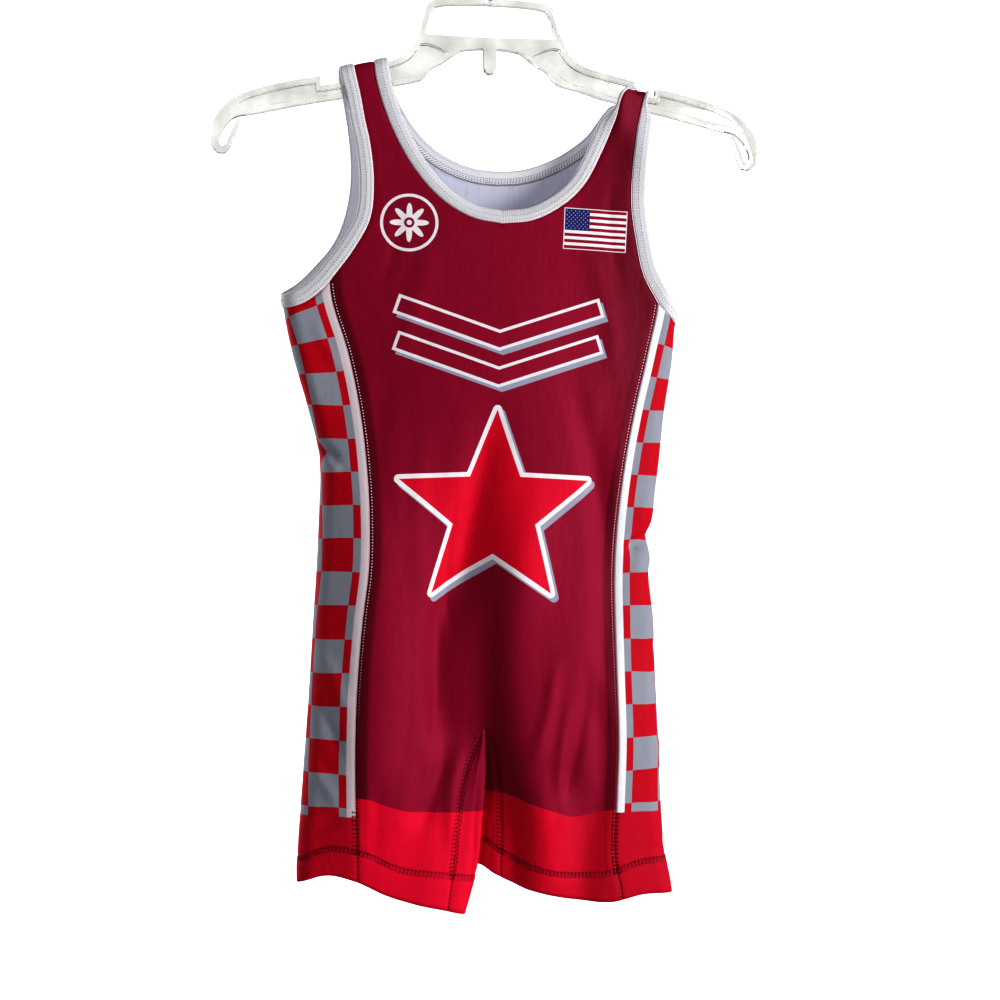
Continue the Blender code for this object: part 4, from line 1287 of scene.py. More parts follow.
class Finishes:
    """Every finish of the singlet and its hanger."""

    def __init__(self) -> None:
        """Makes them all."""
        self.effects = Effects()
        self.front = self._maroon("maroon_front", ChestPrint())
        self.back = self._maroon("maroon_back", None)
        # Painted shade: each side panel is dimmed by its own tone, and the left one's stripe white is greyed.
        self.sides = {
            Side.LEFT: self._checks(Side.LEFT, CheckPrint()),
            Side.RIGHT: self._checks(Side.RIGHT, CheckPrint(tone=0.68, pinch=0.0, pale=CLOTH_WHITE)),
        }
        self.inner = self._inner()
        # The ribs' inner face glows a little: painted light.
        self.rib, self.rib_inside = self._binding("white_rib", 0.0), self._binding("white_rib_inside", 0.14)
        self.white_thread = self._thread("white_thread", shade(252, 238, 242), shade(100, 6, 24))
        self.red_thread = self._thread("red_thread", shade(96, 6, 26), shade(104, 5, 22))
        self.edge_thread = self._thread("edge_thread", shade(206, 200, 208), shade(206, 200, 208))
        self.grey_thread = self._thread("grey_thread", shade(158, 158, 170), shade(158, 158, 170))
        self.plastic = self._plastic()
        self.wire = self._wire()

    def _maroon(self, name: str, chest: ChestPrint | None) -> Material:
        """Maroon knit, deeper beside the side seams, with a bright band round each leg; painted shade darkens
        the panel's upper right and the outer part of the right leg's band.

        Args:
            name: The material's name.
            chest: The print on it, if any.

        Returns:
            The material.
        """
        g = Finish(name, self.effects, ClothFinish(roughness=0.55, specular=0.8, gloss=(1.0, 0.13, 0.27)))
        place = g.cloth_map("flat")
        seam, band, _z = g.split(g.cloth_map("edge"))
        x, y, _z = g.split(place)
        slow = g.noise(g.place(place, (1.0, 0.35, 1.0)), 0.02, 3.0)
        colour = g.mix(g.line(slow, 0.4, -0.05, clamp=True), MAROON, MAROON_DEEP)
        colour = g.mix(g.times(g.inside(g.minus(seam, 7.6), 2.6), 0.9), colour, MAROON_DEEP)
        # Painted shade: the upper right of the panel is darkened towards deep maroon, standing in for shade.
        shaded = g.times(g.line(x, 0.022, -1.0, clamp=True), g.line(y, 0.016, 5.6, clamp=True))
        colour = g.mix(shaded, colour, MAROON_DEEP)
        red = g.mix(g.times(slow, 0.6), BAND_RED, shade(180, 4, 30))
        # Painted shade: the right leg's band is darkened towards its outer side.
        red = g.mix(g.line(x, 0.028, -1.4, clamp=True), red, shade(164, 3, 28))
        colour = g.mix(g.inside(band, 0.5), colour, red)
        if chest is not None:
            colour = chest.paint(g, colour, place)
        return g.knit(place, self._hem_shade(g, colour, 0.35, shade(110, 2, 20)))

    @staticmethod
    def _hem_shade(g: Finish, colour: Socket, share: float, painted_shade_colour: Colour) -> Socket:
        """Painted shade: darker cloth along the drawn-in stitches of a hem."""
        above_hem, _inner, _z = g.split(g.cloth_map("hem"))
        return g.mix(g.times(g.beside(above_hem, -1.5, 2.4, 1.2), share), colour, painted_shade_colour)

    def _checks(self, side: Side, checks: CheckPrint) -> Material:
        """Checked knit of a side panel."""
        g = Finish("checks_" + side.value, self.effects)
        place = g.cloth_map("flat")
        colour = checks.paint(g, place, side is Side.LEFT)
        seam, _band, _z = g.split(g.cloth_map("edge"))
        colour = g.mix(g.times(g.inside(g.minus(seam, 0.9), 0.8), 0.4), colour, MAROON)
        return g.knit(place, self._hem_shade(g, colour, 0.3, shade(120, 4, 22)))

    def _inner(self) -> Material:
        """Unprinted inner face of the knit, with painted shade in soft upright streaks and along thin folds,
        and a painted glow.
        """
        g = Finish("unprinted_knit", self.effects, ClothFinish(roughness=0.7, sheen=0.2, bump=0.12))
        # Painted light: the inner cloth glows a little.
        g.glow(INNER_WHITE, 0.13)
        place = g.body()
        x, _y, z = g.split(place)
        # Painted shade: soft upright streaks and thin fold lines darken the inner cloth where its folds would
        # be in shade.
        slow = g.noise(g.place(place, (0.05, 0.02, 0.012)), 1.0)
        colour = g.mix(g.times(slow, 0.5), INNER_WHITE, shade(166, 164, 184))
        fold = g.beside(g.noise(g.place(place, (0.11, 0.11, 0.014)), 1.0, 1.0), 0.5, 0.012, 0.03)
        colour = g.mix(g.times(fold, 0.35), colour, shade(128, 130, 150))
        return g.knit(g.fill(g.node("CombineXYZ"), {0: x, 1: z}).outputs[0], colour, 0.05)

    def _binding(self, name: str, glow: float) -> Material:
        """White rib of the neck and armhole edges, with a painted glow that stands in for light coming through
        it.
        """
        g = Finish(name, self.effects, ClothFinish(roughness=0.75, sheen=0.25, bump=0.3))
        g.glow(RIB_WHITE, glow)
        place = g.cloth_map("flat")
        _along, across, _z = g.split(place)
        rib = g.effect(self.effects.rib, Place=place, Pitch=1.55)
        soil = g.noise(g.place(place, (0.05, 0.3, 1.0)), 1.0, 3.0)
        colour = g.mix(g.times(soil, 0.35), RIB_WHITE, shade(196, 198, 208))
        # Painted shade: the rib's grooves are darkened.
        colour = g.mix(g.times(rib.outputs["Tick"], 0.22), colour, shade(150, 152, 168))
        border = g.inside(g.minus(across, 0.6), 0.4)
        colour = g.mix(g.times(border, 0.7), colour, shade(240, 204, 214))
        return g.done(colour, rib.outputs["Height"], 0.35, 0.00035)

    def _thread(self, name: str, upper: Colour, lower: Colour) -> Material:
        """Sewing thread whose colour may differ above and below the waist."""
        g = Finish(name, self.effects, ClothFinish(roughness=0.5, sheen=0.2))
        place = g.body()
        _x, _y, z = g.split(place)
        colour = g.mix(g.over(g.minus(-420.0, z), 110.0, clamp=True), upper, lower)
        twist = g.noise(place, 1.4)
        return g.done(g.mix(g.times(twist, 0.18), colour, shade(70, 30, 44)), twist, 0.3, 0.0003)

    def _plastic(self) -> Material:
        """Clear moulded plastic, a little cloudy, with fine scratches."""
        g = Finish("clear_plastic", self.effects, ClothFinish(roughness=0.14, sheen=0.0, specular=0.5))
        place = g.body()
        cloud = g.noise(g.place(place, (0.05, 0.05, 0.05)), 1.0, 3.0)
        scratch = g.noise(g.place(place, (0.15, 1.0, 2.2)), 1.0, 4.0, 0.7)
        colour = g.mix(g.line(cloud, 3.0, -1.0, clamp=True), shade(250, 250, 247), shade(214, 214, 208))
        g.fill(g.shader, {"Transmission Weight": 0.96, "IOR": 1.49})
        return g.done(colour, cloud, 0.5, 0.002, Roughness=g.line(scratch, 0.18, 0.01))

    def _wire(self) -> Material:
        """Bright drawn steel wire with lengthwise marks."""
        g = Finish("bright_wire", self.effects, ClothFinish(roughness=0.24, sheen=0.0, specular=0.5))
        marks = g.noise(g.place(g.body(), (2.0, 2.0, 0.3)), 1.0, 3.0, 0.6)
        colour = g.mix(marks, shade(206, 208, 212), shade(172, 174, 180))
        return g.done(colour, marks, 0.2, 0.0002, Metallic=1.0, Roughness=g.line(marks, 0.2, 0.14))


# ---- The singlet ----


@dataclass
class SewnPieces:
    """The singlet's cloth: its panels and its bound edges."""

    finishes: Finishes
    columns: int = 56
    thigh_columns: int = 22
    side_columns: int = 44
    rib_columns: int = 10
    leg_rows: int = 40
    trunk_rows: int = 100
    upper_rows: tuple[int, int, int] = (8, 46, 12)
    wall: float = 0.9
    rib_wall: float = 1.5
    halves: dict[Side, Garment] = field(default_factory=lambda: {side: Garment(side) for side in Side})

    def outward(self, half: Garment, along: float, height: float) -> Points:
        """Outward direction of the trunk's skin at one place."""
        return unit(half.place(along, height, False, 1.0) - half.place(along, height, False, 0.0))

    def half_panel(self, side: Side, face: Face) -> list[Patch]:
        """Patches of one half of the front or back.

        Args:
            side: Which half.
            face: Front or back.

        Returns:
            The panel's grid and, at the back, the patch between the thighs.
        """
        half = self.halves[side]
        shares = np.linspace(0, 1, self.columns + 1)
        steps = np.linspace(1, 1 / self.leg_rows, self.leg_rows)
        marks = ("front_seam", "inseam") if face is Face.FRONT else ("back_seam", "back_inner")
        along, height = half.leg_grid(*marks, shares, steps)
        lift = seam_groove(along - along[:, :1]) + hem_lift(half.above_hem(along, height))
        if face is Face.FRONT:
            lift = lift + self._inseam_groove(along, height)
        rows = [self._rows(half, face, along, height, True, lift)]
        along, height = half.trunk_grid(face, shares, np.linspace(0, 1, self.trunk_rows + 1))
        rows.append(self._rows(half, face, along, height, False, seam_groove(along - along[:, :1])))
        along, height = half.upper_grid(face, shares, self.upper_rows)
        foot = NECK_SEAMS[side, face][0][1]
        neck = ramp(height[:, -1:], foot - 4, foot + 4)
        lift = seam_groove(along - along[:, :1], 0.4) + seam_groove(along - along[:, -1:], 0.4) * neck
        rows.append(self._rows(half, face, along, height, False, lift))
        points = np.concatenate([row[0] for row in rows])
        maps = {name: np.concatenate([row[1][name] for row in rows]) for name in rows[0][1]}
        panel = Patch(points, maps, self.outward(half, face.outwards * 60.0, -430.0))
        return [panel] if face is Face.FRONT else [panel, self._thigh(half, steps, points[self.leg_rows])]

    @staticmethod
    def _inseam_groove(along: Points, height: Points) -> Points:
        """Groove of the seam at a leg's inner edge, below the crotch."""
        return seam_groove(along - along[:, -1:], 0.5) * ramp(-height, -CROTCH_Z, -CROTCH_Z + 25)

    def _rows(
        self, half: Garment, face: Face, along: Points, height: Points, leg: bool, lift: Points
    ) -> tuple[Points, dict[str, Points]]:
        """Points of a panel's rows, with the cloth's own places and its distances from seams.

        Args:
            half: Which half of the garment.
            face: Front or back.
            along: Lengths round the body from the side fold.
            height: Heights.
            leg: Whether they lie round the leg.
            lift: How far the points stand off the skin.

        Returns:
            The points and the maps.
        """
        points = half.place(along, height, leg, lift)
        marks = half.leg if leg else half.trunk
        away = np.abs(marks.mark(face.value + "_inner", np.minimum(height, FROZEN[half.side])) - along)
        seam = np.abs(along - half.seam(face, np.minimum(height, SEAM_TOP[half.side])))
        return points, cloth_maps(
            flat=(-half.side.inwards * away - (0.5 if leg else 0.0), height),
            edge=(seam, half.above_band(points[..., 0], height)),
            hem=(half.above_hem(along, height), away),
        )

    def _thigh(self, half: Garment, steps: Points, crotch_row: Points) -> Patch:
        """Patch of the back panel that wraps between the thighs to the inseam.

        Args:
            half: Which half of the garment.
            steps: Shares of the leg's height, from the hem up.
            crotch_row: The back panel's points at the crotch.

        Returns:
            The patch.
        """
        shares = np.linspace(0, 1, self.thigh_columns + 1)
        along, height = half.leg_grid("back_inner", "inseam_round", shares, steps)
        lift = hem_lift(half.above_hem(along, height)) + self._inseam_groove(along, height)
        points, maps = self._rows(half, Face.BACK, along, height, True, lift)
        front_along = half.along_at(Face.FRONT, half.middle(np.array(CROTCH_Z)), CROTCH_Z)
        front, back = half.place(front_along, CROTCH_Z, False, 0.0), crotch_row[-1]
        points = np.concatenate([points, (back + (front - back) * shares[:, None])[None]])
        maps = {name: np.concatenate([values, values[-1:]]) for name, values in maps.items()}
        return Patch(points, maps, np.array([half.side.inwards, 0.0, 0.0]))

    def side_panel(self, side: Side) -> Patch:
        """Patch of a side panel, from its front seam round to its back seam."""
        half = self.halves[side]
        shares = np.linspace(0, 1, self.side_columns + 1)
        steps = np.linspace(1, 1 / self.leg_rows, self.leg_rows)
        along, height = half.leg_grid("front_seam", "back_seam", shares, steps)
        lift = self._side_lift(along) + hem_lift(half.above_hem(along, height))
        parts = [(along, height, half.place(along, height, True, lift))]
        level = np.linspace(CROTCH_Z, SEAM_TOP[side], self.trunk_rows + 1)[:, None]
        drop = ARMHOLE_DIP * ramp(level, SEAM_TOP[side] - ARMHOLE_DIP_REACH, SEAM_TOP[side])
        height = level - drop * 4 * shares * (1 - shares)
        along = half.seam(Face.FRONT, height) + shares * SIDE_PANEL_WIDTH
        parts.append((along, height, half.place(along, height, False, self._side_lift(along))))
        along, height, points = (np.concatenate(part) for part in zip(*parts))
        across = np.broadcast_to(shares * SIDE_PANEL_WIDTH, along.shape)
        maps = cloth_maps(
            flat=(across, height),
            edge=(np.minimum(across, SIDE_PANEL_WIDTH - across), height - CheckPrint.foot),
            hem=(half.above_hem(along, height), across),
        )
        return Patch(points, maps, self.outward(half, 0.0, -430.0))

    @staticmethod
    def _side_lift(along: Points) -> Points:
        """Lift of a side panel beside its two seams."""
        return seam_groove(along - along[:, :1]) + seam_groove(along - along[:, -1:])

    @property
    def across(self) -> Points:
        """Shares across a bound edge, from its seam to its fold."""
        return np.linspace(0, 1, self.rib_columns + 1)

    def rib_share(self, side: Side, x: Points, height: Points) -> Points:
        """Share of its width that a bound edge keeps where a strap is bunched in the hanger's notch."""
        if side is Side.LEFT:
            return np.ones_like(x)
        return 1 - (1 - NOTCH_BINDING_SHARE) * ramp(height, -128, -112) * ramp(x, 88, 95)

    def rib_lift(self) -> Points:
        """Lift across a bound edge: laid over the cloth, crowned and rolled at its edge."""
        across = self.across
        crown = 0.85 + 0.25 * np.sin(math.pi * across)
        for depth, at in ((0.35, 0.2), (0.2, 0.72)):
            crown -= depth * np.exp(-(((across - at) / 0.05) ** 2))
        return crown - 0.9 * ramp(across, 0.86, 1.0) - 0.5 * (1 - ramp(across, 0.0, 0.07))

    @staticmethod
    def across_line(line: Points, reach: int = 4) -> Points:
        """Direction to the left of a line at each of its points, taken over a few points each way."""
        padded = np.pad(line, ((reach, reach), (0, 0)), mode="edge")
        run = unit(padded[2 * reach :] - padded[: -2 * reach])
        return np.stack([-run[:, 1], run[:, 0]], axis=1)

    @staticmethod
    def turn_ends(ways: Points, reach: int, first: Spot, last: Spot) -> Points:
        """Directions along a line, turned to given ones at its ends.

        Args:
            ways: The direction at each point.
            reach: How many points are turned at its start.
            first: The direction at its start.
            last: The direction at its end.

        Returns:
            The turned directions.
        """
        at, end = np.arange(len(ways)), len(ways) - 1
        for share, way in ((ramp(at, reach, 0), first), (ramp(at, end - 10, end), last)):
            ways = ways * (1 - share[:, None]) + np.array(way) * share[:, None]
        return ways

    def rib_spots(self, line: Points, normal: Points, width: Points) -> Points:
        """Places across a bound edge from each point of its seam."""
        return line[:, None] + normal[:, None] * (width[:, None] * self.across)[..., None]

    @staticmethod
    def rib_level(half: Garment, height: Points, x: Points, x_seam: Points) -> Points:
        """Heights of a bound edge, moved so that it turns over the hanger together with its seam."""
        start = half.ridge_start(x_seam)[:, None]
        return height + ramp(height, start - 15, start) * (half.ridge_start(x) - start)

    def rib_maps(self, points: Points, width: Points) -> dict[str, Points]:
        """Map of a bound edge: along it and across it."""
        along = np.broadcast_to(lengths(points[:, 0])[:, None], points.shape[:2])
        return cloth_maps(flat=(along, width[:, None] * self.across))

    def armhole_binding(self, side: Side) -> Patch:
        """Patch of an armhole's bound edge, down the front of the strap, under the arm and up the back."""
        half = self.halves[side]
        parts = []
        for face in Face:
            outer, _inner = half.upper_ends(face, self.upper_rows)
            along = half.along_at(face, outer[:, 0], np.minimum(outer[:, 1], FROZEN[side]))
            parts.append(np.stack([along, outer[:, 1]], axis=1))
        share = np.linspace(0, 1, 45)
        height = SEAM_TOP[side] - ARMHOLE_DIP * 4 * share * (1 - share)
        under = np.stack([half.seam(Face.FRONT, height) + share * SIDE_PANEL_WIDTH, height], axis=1)
        line = even_line(np.concatenate([parts[0][::-1], under, parts[1]]))
        x_seam = half.place(line[:, 0], np.minimum(line[:, 1], FROZEN[side]))[:, 0]
        width = BINDING_WIDTH * self.rib_share(side, x_seam, line[:, 1])
        normal = self.turn_ends(self.across_line(line), 10, (1.0, 0.0), (-1.0, 0.0))
        spot = self.rib_spots(line, normal, width)
        x = half.place(spot[..., 0], np.minimum(spot[..., 1], FROZEN[side]))[..., 0]
        level = self.rib_level(half, spot[..., 1], x, x_seam)
        points = half.place(spot[..., 0], level, False, np.broadcast_to(self.rib_lift(), level.shape))
        return Patch(points, self.rib_maps(points, width), self.outward(half, 0.0, -262.0))

    def neck_binding(self, side: Side, face: Face) -> Patch:
        """Patch of a quarter of the neck's bound edge, from the middle up to the strap's top."""
        half = self.halves[side]
        _outer, inner = half.upper_ends(face, self.upper_rows)
        line = even_line(inner[self.upper_rows[0] - 1 :])
        normal = self.turn_ends(self.across_line(line) * -side.inwards, 6, (0.0, 1.0), (side.inwards, 0.0))
        width = BINDING_WIDTH * self.rib_share(side, line[:, 0], line[:, 1])
        if side is Side.RIGHT and face is Face.FRONT:
            folded = ramp(line[:, 1], -134, -118) * (1 - ramp(line[:, 0], 95.5, 99.5))
            width = width * (1 - (1 - FOLDED_SHARE) * folded)
        spot = self.rib_spots(line, normal, width)
        spot[0, :, 0] = half.middle(spot[0, :, 1])
        level = self.rib_level(half, spot[..., 1], spot[..., 0], line[:, 0])
        roll = (2.2 if face is Face.FRONT else 0.6) * self.across**2 * np.exp(-((spot[..., 0] / 46.0) ** 2))
        points = half.place(half.along_at(face, spot[..., 0], level), level, False, self.rib_lift() - roll)
        return Patch(points, self.rib_maps(points, width), np.array([0.0, face.outwards, 0.0]))

    def build(self) -> dict[str, Object]:
        """Makes every sewn piece.

        Returns:
            The objects by name.
        """
        looks, found = self.finishes, []
        for face, look in ((Face.FRONT, looks.front), (Face.BACK, looks.back)):
            patches = [patch for side in Side for patch in self.half_panel(side, face)]
            found.append(sheet_object(face.value + "_cloth", patches, self.wall, look, looks.inner))
            found[-1].modifiers["wall"].material_offset_rim = 1 if face is Face.BACK else 0
        rib = (self.rib_wall, looks.rib, looks.rib_inside)
        for side in Side:
            sheet = (self.wall, looks.sides[side], looks.inner)
            found.append(sheet_object("side_cloth_" + side.value, [self.side_panel(side)], *sheet))
            found.append(sheet_object("armhole_rib_" + side.value, [self.armhole_binding(side)], *rib))
        quarters = [self.neck_binding(side, face) for side in Side for face in Face]
        found.append(sheet_object("neck_rib", quarters, *rib))
        return {piece.name: piece for piece in found}


@dataclass
class Stitching:
    """Every row of thread on the singlet."""

    cloth: SewnPieces
    seam_stitch: StitchRun = StitchRun(1.95, 1.0, 0.46, 0.3, 0.4)
    guide_stitch: StitchRun = StitchRun(1.66, 1.0, 0.26, 0.3)
    hem_stitch: StitchRun = StitchRun(2.6, 2.1, 0.34)
    hem_rung: StitchRun = StitchRun(2.6, 3.0, 0.26, 1.25)
    rib_stitch: StitchRun = StitchRun(2.0, 1.5, 0.3, 0.2)
    inner_bead: StitchRun = StitchRun(1.2, 1.9, 0.55, 0.0, -0.2)
    inner_rung: StitchRun = StitchRun(2.0, 2.6, 0.26, 0.9)
    hem_gap: float = 3.0

    def on_skin(self, half: Garment, along: Points, height: Points, leg: bool, lift: float) -> Pair:
        """Points on the skin and their outward directions."""
        points = half.place(along, height, leg, lift)
        return points, unit(half.place(along, height, leg, lift + 1.0) - points)

    def seam_line(self, side: Side, face: Face, aside: float) -> Pair:
        """A row beside a side seam, from the hem up to the armhole.

        Args:
            side: Which half.
            face: Front or back seam.
            aside: How far it lies from the seam into the maroon, in millimetres.

        Returns:
            Its points and outward directions.
        """
        half, aside = self.cloth.halves[side], face.outwards * aside
        low = self.leg_line(side, aside, face.value + "_seam", 0.0, -0.1)
        height = np.linspace(CROTCH_Z + 2, SEAM_TOP[side] - 1.0, 180)
        high = self.on_skin(half, half.seam(face, height) + aside, height, False, -0.1)
        return np.concatenate([low[0], high[0]]), np.concatenate([low[1], high[1]])

    def leg_line(
        self, side: Side, aside: float, mark: str = "inseam", top: float = 0.06, lift: float = 0.0
    ) -> Pair:
        """A row beside one of a leg's seams, from the hem up to a share of the leg's height."""
        half = self.cloth.halves[side]
        along, height = half.leg_grid(mark, mark, np.zeros(1), np.linspace(0.99, top, 60))
        return self.on_skin(half, along[:, 0] + aside, height[:, 0], True, lift)

    def hem_line(self, side: Side, above: float) -> Pair:
        """A row round a leg at one distance above its stitched hem line."""
        half, places, levels = self.cloth.halves[side], [], []
        marks = ("inseam", "front_seam", "back_seam", "back_inner", "inseam_round")
        for start, end in zip(marks, marks[1:]):
            along, height = half.leg_grid(start, end, np.linspace(0, 1, 50), np.linspace(1, 0.5, 60))
            over = half.above_hem(along, height)
            places += [np.interp(above, *pair) for pair in zip(over.T, along.T)]
            levels += [np.interp(above, *pair) for pair in zip(over.T, height.T)]
        return self.on_skin(half, np.array(places), np.array(levels), True, 0.05)

    def doubled(self, line: Callable[[float], Pair], first: float, last: float) -> list[Row]:
        """Two rows of stitches with rungs between them.

        Args:
            line: Gives a row by its distance aside.
            first: Distance of the one row.
            last: Distance of the other.

        Returns:
            The three rows.
        """
        stitches = ((self.hem_stitch, first), (self.hem_rung, (first + last) / 2), (self.hem_stitch, last))
        return [(stitch, *line(aside)) for stitch, aside in stitches]

    @staticmethod
    def rib_line(patch: Patch, column: int) -> Pair:
        """A row along a bound edge, on one column of its grid."""
        points, last = patch.points[:, column], patch.points.shape[1] - 1
        across = patch.points[:, min(column + 1, last)] - patch.points[:, max(column - 1, 0)]
        normals = unit(np.cross(np.gradient(points, axis=0), across))
        return points, normals if normals[len(normals) // 2] @ patch.outward > 0 else -normals

    def rib_rows(self, patch: Patch) -> list[Row]:
        """The two rows that hold a bound edge down."""
        return [(self.rib_stitch, *self.rib_line(patch, column)) for column in (2, 5)]

    def inner_rows(self, patch: Patch) -> list[Row]:
        """The rows on the inner face of a bound edge."""
        rows, stitches = [], {0: self.inner_bead, 2: self.rib_stitch, 3: self.inner_rung, 5: self.rib_stitch}
        for column, stitch in stitches.items():
            points, normals = self.rib_line(patch, column)
            rows.append((stitch, points - normals * (self.cloth.rib_wall + 0.1), -normals))
        return rows

    def build(self) -> dict[str, Object]:
        """Makes the threads of every seam.

        Returns:
            The objects by name.
        """
        looks, found = self.cloth.finishes, []
        for side in Side:
            for face in Face:
                rows = [(self.seam_stitch, *self.seam_line(side, face, 1.7))]
                found.append(thread_object(f"seam_thread_{face.value}_{side.value}", rows, looks.white_thread))
            guides = [(self.guide_stitch, *self.seam_line(side, face, 6.2)) for face in Face]
            for mark in ("front_seam", "back_seam"):
                guides += self.doubled(partial(self.leg_line, side, mark=mark, top=0.5), -1.8, 1.8)
            hems = self.doubled(partial(self.hem_line, side), 0.0, -self.hem_gap)
            inseams = self.doubled(partial(self.leg_line, side), -2.0, 2.0)
            for kind, rows in (("guide", guides), ("hem", hems), ("inseam", inseams)):
                found.append(thread_object(f"{kind}_thread_{side.value}", rows, looks.red_thread))
            rows = self.rib_rows(self.cloth.armhole_binding(side))
            found.append(thread_object("armhole_thread_" + side.value, rows, looks.edge_thread))
        neck = {(side, face): self.cloth.neck_binding(side, face) for side in Side for face in Face}
        rows = [row for quarter in neck.values() for row in self.rib_rows(quarter)]
        found.append(thread_object("neck_thread", rows, looks.edge_thread))
        rows = [row for side in Side for row in self.inner_rows(neck[side, Face.BACK])]
        found.append(thread_object("neck_inner_thread", rows, looks.grey_thread))
        return {piece.name: piece for piece in found}


# ---- The hanger ----


